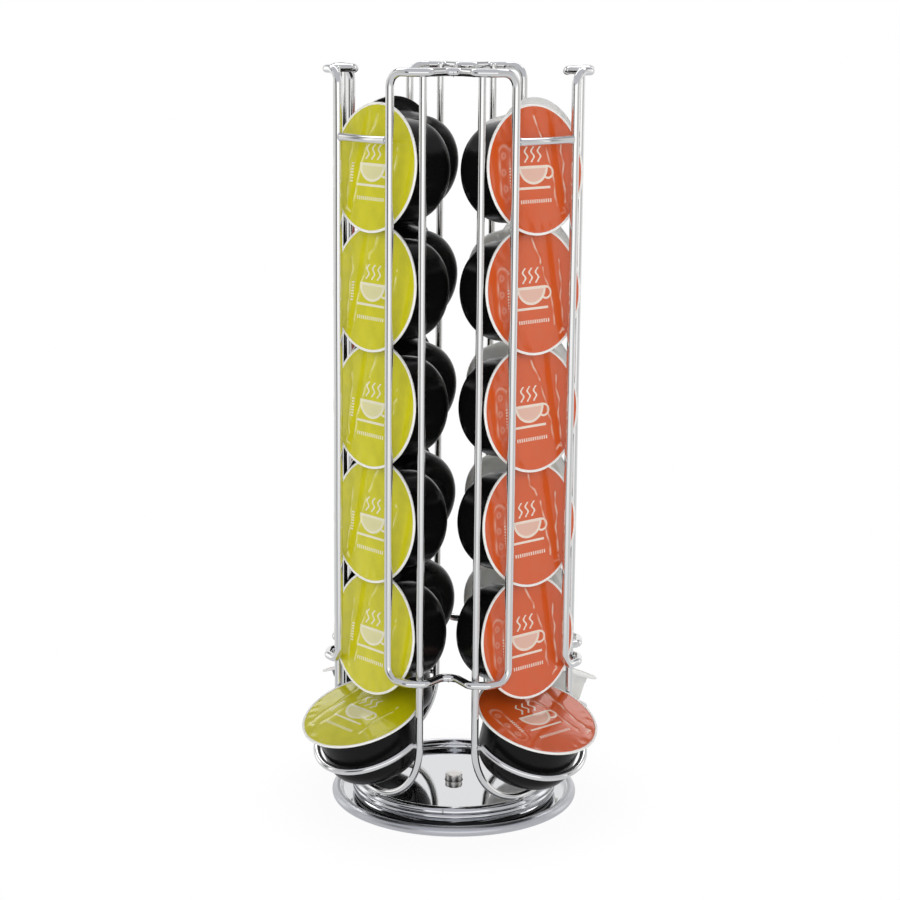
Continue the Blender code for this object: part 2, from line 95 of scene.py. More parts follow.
def keepPiece(name, mesh, body, nodes, materials=(), creaseDegrees=38):
    # a finished piece sits at the origin, rides on its body and stands for its CAD nodes
    for material in materials:
        mesh.materials.append(material)
    mesh.shade_smooth()
    mesh.set_sharp_from_angle(angle=math.radians(creaseDegrees))
    piece = addObject(name, mesh)
    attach(piece, body)
    if nodes:
        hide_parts(*nodes)


# Camera: fitted to the photograph, swung a little to the right of the front side

cameraSetup = {
    "lensMm": 84.6,
    "sensorMm": 36,
    "nearestMm": 10,
    "distanceMm": 912.6,
    "heightMm": 352.75,
    "tiltDegrees": 11.91,
    "rollDegrees": 0.49,
    "panDegrees": 0.19,
    "swingDegrees": 3.37,
}


def addCamera(setup):
    data = bpy.data.cameras.new("photo_camera")
    data.lens = setup["lensMm"]
    data.sensor_width = setup["sensorMm"]
    data.clip_start = setup["nearestMm"] * mm
    camera = addObject("photo_camera", data)
    place = Matrix.Translation((0, -setup["distanceMm"] * mm, setup["heightMm"] * mm))
    aim = turnedBy(setup["panDegrees"]) @ Matrix.Rotation(math.radians(90 - setup["tiltDegrees"]), 4, "X")
    roll = turnedBy(setup["rollDegrees"])
    camera.matrix_world = turnedBy(setup["swingDegrees"]) @ place @ aim @ roll
    bpy.context.scene.camera = camera


addCamera(cameraSetup)
print("camera placed")

# Finishes: clouds of gloss over layers of fine relief, each layer as (wave in mm, depth in mm, strength)

noiseSpan = {"From Min": 0.3, "From Max": 0.7}   # nearly all that a noise texture gives lies between these


def finishMaterial(finish):
    # the gloss drifts in slow clouds, and so does the tone where the finish has one
    material, tree, shader = newMaterial(finish["name"], finish["sockets"])
    place = addNode(tree, "ShaderNodeTexCoord").outputs["Object"]
    cloud = addNode(tree, "ShaderNodeTexNoise", {
        "Vector": place, "Scale": 1 / (finish["cloudMm"] * mm), "Detail": 3})
    gloss = addNode(tree, "ShaderNodeMapRange", {
        "Value": cloud, **noiseSpan, "To Min": finish["roughness"] - finish["spread"],
        "To Max": finish["roughness"] + finish["spread"]})
    colour = linearColour(finish["colour"])
    if "tone" in finish:
        least, most = finish["tone"]
        tone = addNode(tree, "ShaderNodeMapRange", {
            "Value": cloud, **noiseSpan, "To Min": least, "To Max": most})
        colour = addNode(tree, "ShaderNodeVectorMath", {0: colour[:3], "Scale": tone}, operation="SCALE")
    under = {}
    for waveMm, depthMm, strength in finish["relief"]:
        waves = addNode(tree, "ShaderNodeTexNoise", {
            "Vector": place, "Scale": 1 / (waveMm * mm), "Detail": 2})
        bump = addNode(tree, "ShaderNodeBump", {
            "Height": waves, "Distance": depthMm * mm, "Strength": strength, **under})
        under = {"Normal": bump}
    setSockets(tree, shader, {"Base Color": colour, "Roughness": gloss, **under})
    return material


# Metals. Plating copies what lies under it, so each one shows how the steel below was made

plated = {"sockets": {"Metallic": 1.0}, "cloudMm": 9}
orangePeel = (0.7, 0.004, 0.25)   # finer in truth, drawn this coarse so that it shows
metals = {
    # steel wire, drawn and bent, then nickel and chrome: a clean mirror, bent by the faint draw lines
    "wire": {"name": "bright_chrome_on_drawn_wire", "colour": "#E5E5E4", "roughness": 0.10,
             "spread": 0.025, "relief": [(7, 0.05, 0.6), orangePeel]},
    # pressed from polished sheet and plated: flatter, so it mirrors whole shapes
    "plate": {"name": "mirror_chrome_on_pressed_sheet", "colour": "#D9DADC", "roughness": 0.05,
              "spread": 0.015, "relief": [(16, 0.03, 0.6), orangePeel]},
    # the rolled rim is brushed before it is plated: satin, so it only tells light from dark
    "rim": {"name": "satin_chrome_on_rolled_rim", "colour": "#CDCED2", "roughness": 0.34,
            "spread": 0.02, "relief": [(30, 0.02, 0.6), orangePeel]},
    # resistance welds set lumpy under the plating: small broken glints
    "weld": {"name": "plated_weld_metal", "colour": "#CBCBCB", "roughness": 0.16,
             "spread": 0.05, "relief": [(1.4, 0.08, 0.6), orangePeel]},
    # zinc-plated nut, barrel finished: grey, dull and a little uneven
    "nut": {"name": "zinc_plated_steel", "colour": "#A9ADB2", "roughness": 0.34,
            "spread": 0.06, "relief": [(1.5, 0.03, 0.6), orangePeel]},
}
metalMaterials = {name: finishMaterial({**plated, **finish}) for name, finish in metals.items()}

# Geometry Nodes: a round wire that follows a path of points, with its own bend radius at each point

wires = {
    "loopRadiusMm": 1.75,
    "railRadiusMm": 1.6,
    "cradleRadiusMm": 1.6,
    "retainerRadiusMm": 1.6,
    "profileSides": 24,
    "cornerSteps": 9,
    "straightStepMm": 22,   # hand-bent wire is never dead straight between its welds
    "wanderMm": 0.16,
    "wanderWaveMm": 70,
    "seedStep": 0.37,
}


def newGeometryTree(name, sockets):
    # a path or points come in with the tree's own sizes, and a solid goes out
    tree = bpy.data.node_groups.new(name, "GeometryNodeTree")
    tree.interface.new_socket("Path", in_out="INPUT", socket_type="NodeSocketGeometry")
    for label, kind in sockets.items():
        tree.interface.new_socket(label, in_out="INPUT", socket_type=kind)
    tree.interface.new_socket("Solid", in_out="OUTPUT", socket_type="NodeSocketGeometry")
    return tree, addNode(tree, "NodeGroupInput").outputs


def closeGeometryTree(tree, geometry, material):
    # every tree ends in real mesh with its material
    solid = addNode(tree, "GeometryNodeRealizeInstances", {"Geometry": geometry})
    smooth = addNode(tree, "GeometryNodeSetShadeSmooth", {"Geometry": solid})
    finished = addNode(tree, "GeometryNodeSetMaterial", {"Geometry": smooth, "Material": material})
    addNode(tree, "NodeGroupOutput", {0: finished})


def centredNoise(tree, place, waveMm, detail, reach):
    # a vector that drifts either way round zero, up to about half the reach
    drift = addNode(tree, "ShaderNodeTexNoise", {
        "Vector": place, "Scale": 1 / (waveMm * mm), "Detail": detail}).outputs["Color"]
    centred = addNode(tree, "ShaderNodeVectorMath", {0: drift, 1: (0.5, 0.5, 0.5)}, operation="SUBTRACT")
    return addNode(tree, "ShaderNodeVectorMath", {0: centred, "Scale": reach}, operation="SCALE")


def roundWireTree():
    tree, given = newGeometryTree("roundWire", {
        "Wire Radius": "NodeSocketFloat", "Profile Sides": "NodeSocketInt", "Corner Steps": "NodeSocketInt",
        "Wander": "NodeSocketFloat", "Seed": "NodeSocketFloat", "Finish": "NodeSocketMaterial"})
    curve = addNode(tree, "GeometryNodeMeshToCurve", {"Mesh": given["Path"]})
    bend = addNode(tree, "GeometryNodeInputNamedAttribute", {"Name": "bendRadius"}, data_type="FLOAT")
    rounded = addNode(tree, "GeometryNodeFilletCurve", {
        "Curve": curve, "Count": given["Corner Steps"], "Radius": bend, "Limit Radius": True}, mode="POLY")
    # the wire wanders sideways only, so the drift is doubled there and dropped along the height
    place = addNode(tree, "GeometryNodeInputPosition")
    shifted = addNode(tree, "ShaderNodeVectorMath", {0: place, 1: given["Seed"]}, operation="ADD")
    drift = centredNoise(tree, shifted, wires["wanderWaveMm"], 0, given["Wander"])
    flat = addNode(tree, "ShaderNodeVectorMath", {0: drift, 1: (2, 2, 0)}, operation="MULTIPLY")
    wandering = addNode(tree, "GeometryNodeSetPosition", {"Geometry": rounded, "Offset": flat})
    profile = addNode(tree, "GeometryNodeCurvePrimitiveCircle", {
        "Resolution": given["Profile Sides"], "Radius": given["Wire Radius"]})
    taper = addNode(tree, "GeometryNodeInputNamedAttribute", {"Name": "taper"}, data_type="FLOAT")
    tube = addNode(tree, "GeometryNodeCurveToMesh", {
        "Curve": wandering, "Profile Curve": profile, "Scale": taper, "Fill Caps": True})
    closeGeometryTree(tree, tube, given["Finish"])
    return tree


def weldBeadTree():
    # one small lump of melted metal on each point, sized and turned by the point's own values
    tree, given = newGeometryTree("weldBeads", {
        "Lumpiness": "NodeSocketFloat", "Finish": "NodeSocketMaterial"})
    bead = addNode(tree, "GeometryNodeMeshIcoSphere", {"Radius": 1.0, "Subdivisions": 3})
    size = addNode(tree, "GeometryNodeInputNamedAttribute", {"Name": "beadSize"}, data_type="FLOAT_VECTOR")
    axis = addNode(tree, "GeometryNodeInputNamedAttribute", {"Name": "beadAxis"}, data_type="FLOAT_VECTOR")
    turn = addNode(tree, "FunctionNodeAlignRotationToVector", {"Vector": axis}, axis="Z")
    placed = addNode(tree, "GeometryNodeInstanceOnPoints", {
        "Points": given["Path"], "Instance": bead, "Rotation": turn, "Scale": size})
    solid = addNode(tree, "GeometryNodeRealizeInstances", {"Geometry": placed})
    place = addNode(tree, "GeometryNodeInputPosition")
    offset = centredNoise(tree, place, welds["lumpMm"], 1, given["Lumpiness"])
    melted = addNode(tree, "GeometryNodeSetPosition", {"Geometry": solid, "Offset": offset})
    closeGeometryTree(tree, melted, given["Finish"])
    return tree


def meshFromTree(name, path, tree, values):
    # runs the tree on a path and returns the result as a plain mesh
    source = addObject(name + "_path", path)
    modifier = source.modifiers.new("shape", "NODES")
    modifier.node_group = tree
    inputs = [item for item in tree.interface.items_tree if item.in_out == "INPUT"]
    identifiers = {item.name: item.identifier for item in inputs}
    for label, value in values.items():
        modifier[identifiers[label]] = value
    graph = bpy.context.evaluated_depsgraph_get()
    mesh = bpy.data.meshes.new_from_object(source.evaluated_get(graph), depsgraph=graph)
    mesh.name = name
    source.modifiers.clear()
    bpy.data.objects.remove(source)
    return mesh


def addAttribute(mesh, name, kind, values):
    # one number or one vector for each point
    field = "vector" if kind == "FLOAT_VECTOR" else "value"
    mesh.attributes.new(name, kind, "POINT").data.foreach_set(field, values)


def pathMesh(name, points, closed):
    # points are (place in mm, bend radius in mm, share of the wire's thickness); straights get extra points
    filled = []
    count = len(points)
    for index, point in enumerate(points):
        filled.append(point)
        if index == count - 1 and not closed:
            break
        start = Vector(point[0])
        straight = Vector(points[(index + 1) % count][0]) - start
        pieces = int(straight.length / wires["straightStepMm"])
        for step in range(1, pieces):
            filled.append((start + straight * step / pieces, 0, 1))
    edges = [(i, i + 1) for i in range(len(filled) - 1)]
    if closed:
        edges.append((len(filled) - 1, 0))
    mesh = bpy.data.meshes.new(name)
    mesh.from_pydata([Vector(place) * mm for place, radius, share in filled], edges, [])
    addAttribute(mesh, "bendRadius", "FLOAT", [radius * mm for place, radius, share in filled])
    addAttribute(mesh, "taper", "FLOAT", [share for place, radius, share in filled])
    return mesh


wireTree = roundWireTree()


def addWire(name, points, radiusMm, closed, turn, node, seed):
    path = pathMesh(name, points, closed)
    path.transform(turn)
    mesh = meshFromTree(name, path, wireTree, {
        "Wire Radius": radiusMm * mm, "Profile Sides": wires["profileSides"],
        "Corner Steps": wires["cornerSteps"], "Wander": wires["wanderMm"] * mm,
        "Seed": seed * wires["seedStep"], "Finish": metalMaterials["wire"]})
    keepPiece(name, mesh, "rack", [node])


# Side loops: two posts and a brace-shaped rod at each end

sideLoop = {
    "topMm": 325.878,
    "bottomMm": 69.994,
    # post, shoulder, saddle and recess as (outward, across, bend radius)
    "rodMm": [(49.399, 25.597, 6.0), (55.217, 17.499, 4.0), (55.217, 9.499, 4.0), (45.417, 3.002, 4.0)],
}

rod = sideLoop["rodMm"] + [(x, -y, r) for x, y, r in reversed(sideLoop["rodMm"])]
loopPoints = [((x, y, sideLoop["topMm"]), r, 1) for x, y, r in rod]
loopPoints += [((x, y, sideLoop["bottomMm"]), r, 1) for x, y, r in reversed(rod)]
for index, (side, angle) in enumerate(sideAngles.items()):
    addWire(f"brace_loop_{side}", loopPoints, wires["loopRadiusMm"], True, turnedBy(angle),
            f"side_loop_{side}", index + 1)
print("side loops bent")

# Column wires: a long U-shaped rail, a half-ring cradle with pointed ends, and a bowed retainer

column = {
    "railOutMm": 44.8,
    "railHalfMm": 28.0,
    "railFootMm": 12.676,
    "railTopMm": 326.878,
    "railChamferMm": 0.4,
    "railTipShare": 0.72,
    "railBendSteps": 48,
    "cradleCentreMm": (47.985, 0, 41.211),
    "cradleRadiusMm": 25.969,
    "cradleLeanDegrees": 27.3,
    "cradleSteps": 44,
    "cradleWeldMm": (46.402, 26.978),
    "cradleTipShare": 0.5,
    "retainerOutMm": 53.03,
    "retainerBowMm": 1.2,
    "retainerHalfMm": 14.78,
    "retainerHeightMm": 298.278,
    "retainerSteps": 16,
    "retainerSwell": (0.12, 6),   # the ends are upset by the weld: share of the thickness, and steepness
    "firstSeeds": (11, 21, 31),   # so that every wire wanders in its own way
}


def railPoints(setup):
    half, top, tip = setup["railHalfMm"], setup["railTopMm"], setup["railTipShare"]
    out, chamfer, steps = setup["railOutMm"], setup["railChamferMm"], setup["railBendSteps"]
    middle = setup["railFootMm"] + half
    points = [((out, -half, top), 0, tip), ((out, -half, top - chamfer), 0, 1)]
    for step in range(steps + 1):
        angle = math.pi + math.pi * step / steps
        points.append(((out, half * math.cos(angle), middle + half * math.sin(angle)), 0, 1))
    return points + [((out, half, top - chamfer), 0, 1), ((out, half, top), 0, tip)]


def cradlePoints(setup):
    # a half ring in a leaning plane, whose ends run back to the rails
    lean = math.radians(setup["cradleLeanDegrees"])
    outward, sideways = Vector((math.cos(lean), 0, -math.sin(lean))), Vector((0, 1, 0))
    centre, steps = Vector(setup["cradleCentreMm"]), setup["cradleSteps"]
    ring = []
    for step in range(steps + 1):
        angle = math.pi * (step / steps - 0.5)
        spoke = outward * math.cos(angle) + sideways * math.sin(angle)
        ring.append((centre + spoke * setup["cradleRadiusMm"], 0, 1))
    weldOut, weldAcross = setup["cradleWeldMm"]
    tips = [((weldOut, hand * weldAcross, centre.z), 0, setup["cradleTipShare"]) for hand in (-1, 1)]
    return [tips[0]] + ring + [tips[1]]


def retainerPoints(setup):
    points = []
    upset, steepness = setup["retainerSwell"]
    for step in range(setup["retainerSteps"] + 1):
        share = 2 * step / setup["retainerSteps"] - 1
        bow = setup["retainerBowMm"] * (1 - share ** 2)
        swell = 1 + upset * abs(share) ** steepness
        points.append(((setup["retainerOutMm"] + bow, share * setup["retainerHalfMm"],
                        setup["retainerHeightMm"]), 0, swell))
    return points


columnWires = [("u_rail", "column_rail", railPoints(column), wires["railRadiusMm"]),
               ("half_ring_cradle", "cradle", cradlePoints(column), wires["cradleRadiusMm"]),
               ("bowed_retainer", "retainer_bar", retainerPoints(column), wires["retainerRadiusMm"])]
for index, (name, angle) in enumerate(columnAngles.items()):
    turn = turnedBy(angle)
    for (piece, node, points, radiusMm), seed in zip(columnWires, column["firstSeeds"]):
        addWire(f"{piece}_{name}", points, radiusMm, False, turn, f"{node}_{name}", seed + index)
print("column wires bent")

# Resistance welds, butt seams and the feet of the rails, all small lumps of plated metal

welds = {
    "rodOnRail": {"placeMm": (53.3, 11.879), "sizeMm": (1.3, 1.5, 1.35), "axis": (1, 0, 0)},
    "rodSeam": {"outMm": 45.417, "dropMm": 0.3, "sizeMm": (1.88, 1.88, 0.32), "axis": (0, 1, 0)},
    "rodMark": {"placeMm": (46.6, -3.9), "sizeMm": (1.88, 1.88, 0.28), "axis": (0.8, 1, 0)},
    "retainerEnd": {"sizeMm": (1.85, 1.85, 1.1), "axis": (0, 1, 0)},
    "cradleTip": {"sizeMm": (1.25, 1.25, 1.5), "axis": (0.6, -0.6, 0.5)},
    "railFoot": {"placeMm": (44.75, 0, 11.05), "sizeMm": (1.7, 3.0, 0.6), "axis": (0, 0, 1)},
    "curlSeam": {"placeMm": (45.75, 0, 8.9), "bearingDegrees": -92.5, "sizeMm": (0.45, 0.55, 1.5),
                 "axis": (0, 0, 1)},
    "lumpMm": 1.3,
    "lumpinessMm": 0.12,
}


def weldBeads():
    # each bead as (place in mm, size in mm, axis)
    beads = []

    def addBead(turn, kind, placeMm, hand=1):
        out, across, up = welds[kind]["axis"]
        axis = turn @ Vector((out, hand * across, up))
        beads.append((turn @ Vector(placeMm), welds[kind]["sizeMm"], axis))

    railOut, railAcross = welds["rodOnRail"]["placeMm"]
    seam = welds["rodSeam"]
    for angle in sideAngles.values():
        turn = turnedBy(angle)
        for height in (sideLoop["topMm"], sideLoop["bottomMm"]):
            for hand in (-1, 1):
                addBead(turn, "rodOnRail", (railOut, hand * railAcross, height))
            addBead(turn, "rodSeam", (seam["outMm"], 0, height - seam["dropMm"]))
        addBead(turn, "rodMark", (*welds["rodMark"]["placeMm"], sideLoop["bottomMm"]))
    weldOut, weldAcross = column["cradleWeldMm"]
    for angle in columnAngles.values():
        turn = turnedBy(angle)
        for hand in (-1, 1):
            addBead(turn, "retainerEnd", (column["retainerOutMm"], hand * column["retainerHalfMm"],
                                          column["retainerHeightMm"]))
            addBead(turn, "cradleTip", (weldOut, hand * weldAcross, column["cradleCentreMm"][2]), hand)
        addBead(turn, "railFoot", welds["railFoot"]["placeMm"])
    curl = welds["curlSeam"]
    addBead(turnedBy(curl["bearingDegrees"]), "curlSeam", curl["placeMm"])
    return beads


def addWelds():
    beads = weldBeads()
    path = bpy.data.meshes.new("weld_places")
    path.from_pydata([place * mm for place, size, axis in beads], [], [])
    sizes = [value * mm for place, size, axis in beads for value in size]
    axes = [value for place, size, axis in beads for value in axis]
    addAttribute(path, "beadSize", "FLOAT_VECTOR", sizes)
    addAttribute(path, "beadAxis", "FLOAT_VECTOR", axes)
    mesh = meshFromTree("weld_beads", path, weldBeadTree(), {
        "Lumpiness": welds["lumpinessMm"] * mm, "Finish": metalMaterials["weld"]})
    keepPiece("weld_beads", mesh, "rack", [])


addWelds()
print("welds placed")

# Turned and pressed pieces: rings of points skinned into one closed mesh


def skinRings(name, rings, closed):
    # rings is (number of rings, points in a ring, 3) in mm; ends that meet on the axis close by themselves
    rings = np.asarray(rings, float)
    rows, count = rings.shape[:2]
    a, i = np.meshgrid(np.arange(rows if closed else rows - 1), np.arange(count), indexing="ij")
    b, j = (a + 1) % rows, (i + 1) % count
    faces = np.stack([a * count + i, a * count + j, b * count + j, b * count + i], -1).reshape(-1, 4)
    mesh = bpy.data.meshes.new(name)
    mesh.from_pydata((rings.reshape(-1, 3) * mm).tolist(), [], faces.tolist())
    return mesh


def tidyMesh(mesh):
    # merge the points on the axis and turn every face outward
    work = bmesh.new()
    work.from_mesh(mesh)
    bmesh.ops.remove_doubles(work, verts=work.verts, dist=0.0002 * mm)
    bmesh.ops.dissolve_degenerate(work, edges=work.edges, dist=0.0001 * mm)
    bmesh.ops.recalc_face_normals(work, faces=work.faces)
    work.to_mesh(mesh)
    work.free()
    return mesh


def ringsAround(rows, angles):
    # rows are (radius, height), where a radius may also differ from angle to angle
    rings = np.zeros((len(rows), len(angles), 3))
    for row, (radius, height) in enumerate(rows):
        rings[row, :, 0] = radius * np.cos(angles)
        rings[row, :, 1] = radius * np.sin(angles)
        rings[row, :, 2] = height
    return rings


def anglesAround(segments):
    return np.arange(segments) * math.tau / segments


def latheMesh(name, section, segments, closed=True):
    return tidyMesh(skinRings(name, ringsAround(section, anglesAround(segments)), closed))


def arcPoints(centre, radius, startDegrees, endDegrees, steps):
    angles = np.radians(np.linspace(startDegrees, endDegrees, steps + 1))
    return [(centre[0] + radius * math.cos(a), centre[1] + radius * math.sin(a)) for a in angles]


def roundedSection(points, radius, steps=3):
    # rounds every corner of a closed (radius, height) section, except those on the axis
    rounded = []
    for index, point in enumerate(points):
        corner = Vector(point)
        if corner.x == 0:
            rounded.append(tuple(corner))
            continue
        back = Vector(points[index - 1]) - corner
        ahead = Vector(points[(index + 1) % len(points)]) - corner
        reach = min(radius, back.length / 3, ahead.length / 3)
        start, end = corner + back.normalized() * reach, corner + ahead.normalized() * reach
        for step in range(steps + 1):
            share = step / steps
            bent = start * (1 - share) ** 2 + corner * 2 * share * (1 - share) + end * share ** 2
            rounded.append(tuple(bent))
    return rounded


def sheetSection(path, thickness):
    # both faces of a sheet that follows a path of (radius, height) points
    points = [Vector(p) for p in path]
    upper, lower = [], []
    for index, point in enumerate(points):
        before, after = points[max(index - 1, 0)], points[min(index + 1, len(points) - 1)]
        along = (after - before).normalized()
        normal = Vector((-along.y, along.x)) * thickness / 2
        upper.append(tuple(point + normal))
        lower.append(tuple(point - normal))
    return upper + lower[::-1]


# Plastics and rubber: moulded in spark-eroded steel tools, so they carry a fine grain, drawn coarser to show

moulded = {"sockets": {"IOR": 1.49}, "cloudMm": 14, "tone": (0.9, 1.1), "spread": 0.04}
plastics = {
    # polypropylene from a smooth tool: deep black with a soft, wide sheen
    "black": {"name": "satin_black_polypropylene", "colour": "#111111", "roughness": 0.22,
              "relief": [(0.5, 0.012, 0.5)], "sockets": {"IOR": 1.3, "Specular IOR Level": 0.35}},
    # the same with a little white in it: light gets in and softens its shadows
    "white": {"name": "translucent_white_polypropylene", "colour": "#F4F3EE", "roughness": 0.34,
              "relief": [(0.5, 0.012, 0.5)],
              "sockets": {"IOR": 1.49, "Subsurface Weight": 0.8, "Subsurface Scale": 0.5,
                          "Subsurface Radius": (0.016, 0.015, 0.014)}},
    # acetal, dense and slippery: nearly black, with an even half gloss
    "slip": {"name": "black_acetal", "colour": "#141416", "roughness": 0.30, "relief": [(1.5, 0.01, 0.5)]},
    # nylon as it comes from the mould: a warm, waxy off-white
    "nylon": {"name": "natural_nylon", "colour": "#E4E1D6", "roughness": 0.40, "relief": [(0.8, 0.01, 0.5)]},
    # pressed rubber: dull black that swallows nearly all highlights
    "rubber": {"name": "black_foot_rubber", "colour": "#1B1B1D", "roughness": 0.78,
               "relief": [(0.4, 0.03, 0.5)]},
}
plasticMaterials = {name: finishMaterial({**moulded, **finish}) for name, finish in plastics.items()}

# Base: a pressed dish with a rolled rim, the curled turntable, the slip ring, the washer and the foot

base = {
    "segments": {"pivot_washer": 72, "others": 160},
    "sheetMm": 0.8,
    # the dish, along the middle of its sheet
    "boss": {"bore": 2.6, "step": 5, "edge": 9.0, "slopeEdge": 11.0, "height": 3.1, "ease": (0.6, 0.08),
             "slopeEase": (0.4, 0.12)},
    "floor": {"height": 1.8, "steps": (24, 38.5, 46.5)},
    "fillet": {"radius": 3.0, "steps": 12},
    "roll": {"centre": (53.0, 3.2), "radius": 1.9, "endDegrees": -110, "steps": 30},
    "satinFromMm": 51.6,                 # the rolled rim keeps a satin face outside this radius
    # the turntable: a flat plate, a small fillet, the curl, and a shallow neck that parts it from the skirt
    "plate": {"bore": 4.15, "height": 6.5, "steps": (10, 22, 34)},
    "plateFillet": {"radius": 1.2, "steps": 6},
    "curl": {"centre": (43.8, 8.7), "radius": 1.8, "endDegrees": -32, "steps": 28},
    "neck": [(-0.36, 7.5), (-0.3, 7.2), (-0.06, 6.9), (0.0, 6.6), (0.0, 5.9), (0.0, 4.4)],
    # rings: span as (inner, outer, low, top), upstand as (inner, outer, top), round as (radius, steps)
    "slip": {"span": (39.5, 45.2, 2.5, 4.1), "upstand": (43.2, 44.4, 9.66), "round": (0.35, 3)},
    "washer": {"span": (4.15, 8.5, 3.8, 5.8), "round": (0.3, 3)},
    # three shallow grooves under the foot grip the table
    "foot": {"span": (38.0, 48.0, 0.0, 1.1), "grooves": (40.5, 43.0, 45.5), "grooveHalf": 0.5,
             "round": (0.25, 2)},
}


def dishSection(setup):
    boss, floor, fillet, roll = setup["boss"], setup["floor"]["height"], setup["fillet"], setup["roll"]
    (easeIn, easeDown), (slopeIn, slopeUp) = boss["ease"], boss["slopeEase"]
    path = [(boss["bore"], boss["height"]), (boss["step"], boss["height"]),
            (boss["edge"] - easeIn, boss["height"]), (boss["edge"], boss["height"] - easeDown),
            (boss["slopeEdge"] - slopeIn, floor + slopeUp), (boss["slopeEdge"] + slopeIn, floor)]
    path += [(radius, floor) for radius in setup["floor"]["steps"]]
    # a wide fillet runs up into the roll, and touches it where the line between their centres crosses
    out, height = roll["centre"]
    reach = fillet["radius"] + roll["radius"]
    slope = math.asin((floor + fillet["radius"] - height) / reach)
    path += arcPoints((out - reach * math.cos(slope), floor + fillet["radius"]), fillet["radius"], -90,
                      -math.degrees(slope), fillet["steps"])
    path += arcPoints((out, height), roll["radius"], 180 - math.degrees(slope), roll["endDegrees"],
                      roll["steps"])
    return sheetSection(path, setup["sheetMm"])


def plateSection(setup):
    plate, fillet, curl = setup["plate"], setup["plateFillet"], setup["curl"]
    out, height = curl["centre"]
    path = [(radius, plate["height"]) for radius in (plate["bore"], *plate["steps"])]
    path += arcPoints((out - curl["radius"] - fillet["radius"], plate["height"] + fillet["radius"]),
                      fillet["radius"], -90, 0, fillet["steps"])
    path += arcPoints((out, height), curl["radius"], 180, curl["endDegrees"], curl["steps"])
    path += [(out + curl["radius"] + past, level) for past, level in setup["neck"]]
    return sheetSection(path, setup["sheetMm"])


def ringSection(ring):
    # a flat ring, whose underside may have grooves and whose top may carry an upstand
    inner, outer, low, top = ring["span"]
    points = [(inner, low)]
    for middle in ring.get("grooves", ()):
        half = ring["grooveHalf"]
        points += [(middle - half, low), (middle, low + half), (middle + half, low)]
    points += [(outer, low), (outer, top)]
    if "upstand" in ring:
        near, far, height = ring["upstand"]
        points += [(far, top), (far, height), (near, height), (near, top)]
    return roundedSection(points + [(inner, top)], *ring["round"])


def addBase(setup):
    mirror, satin = metalMaterials["plate"], metalMaterials["rim"]
    slip, nylon, rubber = (plasticMaterials[name] for name in ("slip", "nylon", "rubber"))
    pieces = [
        ("rolled_dish", "base_dish", dishSection(setup), "base", "plate_chrome", [mirror, satin]),
        ("curled_plate", "turntable_plate", plateSection(setup), "rack", "plate_chrome", [mirror]),
        ("moulded_slip_ring", "slip_ring", ringSection(setup["slip"]), "base", "slip_plastic", [slip]),
        ("grooved_foot", "foot_ring", ringSection(setup["foot"]), "base", "foot_rubber", [rubber]),
        ("nylon_washer", "pivot_washer", ringSection(setup["washer"]), "rack", "slip_plastic", [nylon]),
    ]
    for name, node, section, body, slot, materials in pieces:
        mesh = latheMesh(name, section, setup["segments"].get(node, setup["segments"]["others"]))
        if satin in materials:
            for face in mesh.polygons:
                out = math.hypot(face.center.x, face.center.y)
                face.material_index = int(out > setup["satinFromMm"] * mm)
        keepPiece(name, mesh, body, [node], materials)


addBase(base)

# Pivot: a turned stub with a shank, and the nut under the dish

pivot = {
    "pin": {"radius": 3.85, "shank": 2.3, "top": 9.8, "seat": 3.8, "low": 0.7, "shankEase": 0.3,
            "shoulder": [(0.0, 0.3), (0.2, 0.0)], "segments": 96,
            # the faced top is a hair hollow, as (radius, drop), and its edge is broken, as (inset, drop)
            "face": [(0, 0.06), (1.2, 0.05), (2.0, 0.02)],
            "edge": [(0.3, 0.0), (0.12, 0.06), (0.0, 0.3), (0.0, 0.9)]},
    "nut": {"bore": 2.6, "corner": 4.5, "low": 0.7, "top": 2.4, "chamfer": 0.28, "boreChamfer": 0.25,
            "faceInset": 0.05, "segments": 72, "creaseDegrees": 20},
    # bright steel bar, turned and faced: rings on its top, streaks down its side
    "steel": {"colour": "#E6E3DE", "roughness": (0.22, 0.38), "ringMm": 0.22, "ringDepthMm": 0.003,
              "ringStrength": 0.3, "streakMm": 0.5, "streakDepthMm": 0.02, "streakStrength": 0.5},
}


def turnedSteelMaterial(finish):
    material, tree, shader = newMaterial("turned_bright_steel", {
        "Base Color": linearColour(finish["colour"]), "Metallic": 1.0})
    place = addNode(tree, "ShaderNodeTexCoord").outputs["Object"]
    flat = addNode(tree, "ShaderNodeVectorMath", {0: place, 1: (1, 1, 0)}, operation="MULTIPLY")
    reach = addNode(tree, "ShaderNodeVectorMath", {0: flat}, operation="LENGTH")
    turns = math.tau / (finish["ringMm"] * mm)
    waves = addNode(tree, "ShaderNodeMath", {0: reach, 1: turns}, operation="MULTIPLY")
    rings = addNode(tree, "ShaderNodeMath", {0: waves}, operation="SINE")
    streaks = addNode(tree, "ShaderNodeTexNoise", {
        "Vector": flat, "Scale": 1 / (finish["streakMm"] * mm), "Detail": 3})
    smooth, rough = finish["roughness"]
    gloss = addNode(tree, "ShaderNodeMapRange", {
        "Value": streaks, **noiseSpan, "To Min": smooth, "To Max": rough})
    cut = addNode(tree, "ShaderNodeBump", {
        "Height": rings, "Distance": finish["ringDepthMm"] * mm, "Strength": finish["ringStrength"]})
    drawn = addNode(tree, "ShaderNodeBump", {
        "Height": streaks, "Distance": finish["streakDepthMm"] * mm, "Strength": finish["streakStrength"],
        "Normal": cut})
    setSockets(tree, shader, {"Roughness": gloss, "Normal": drawn})
    return material


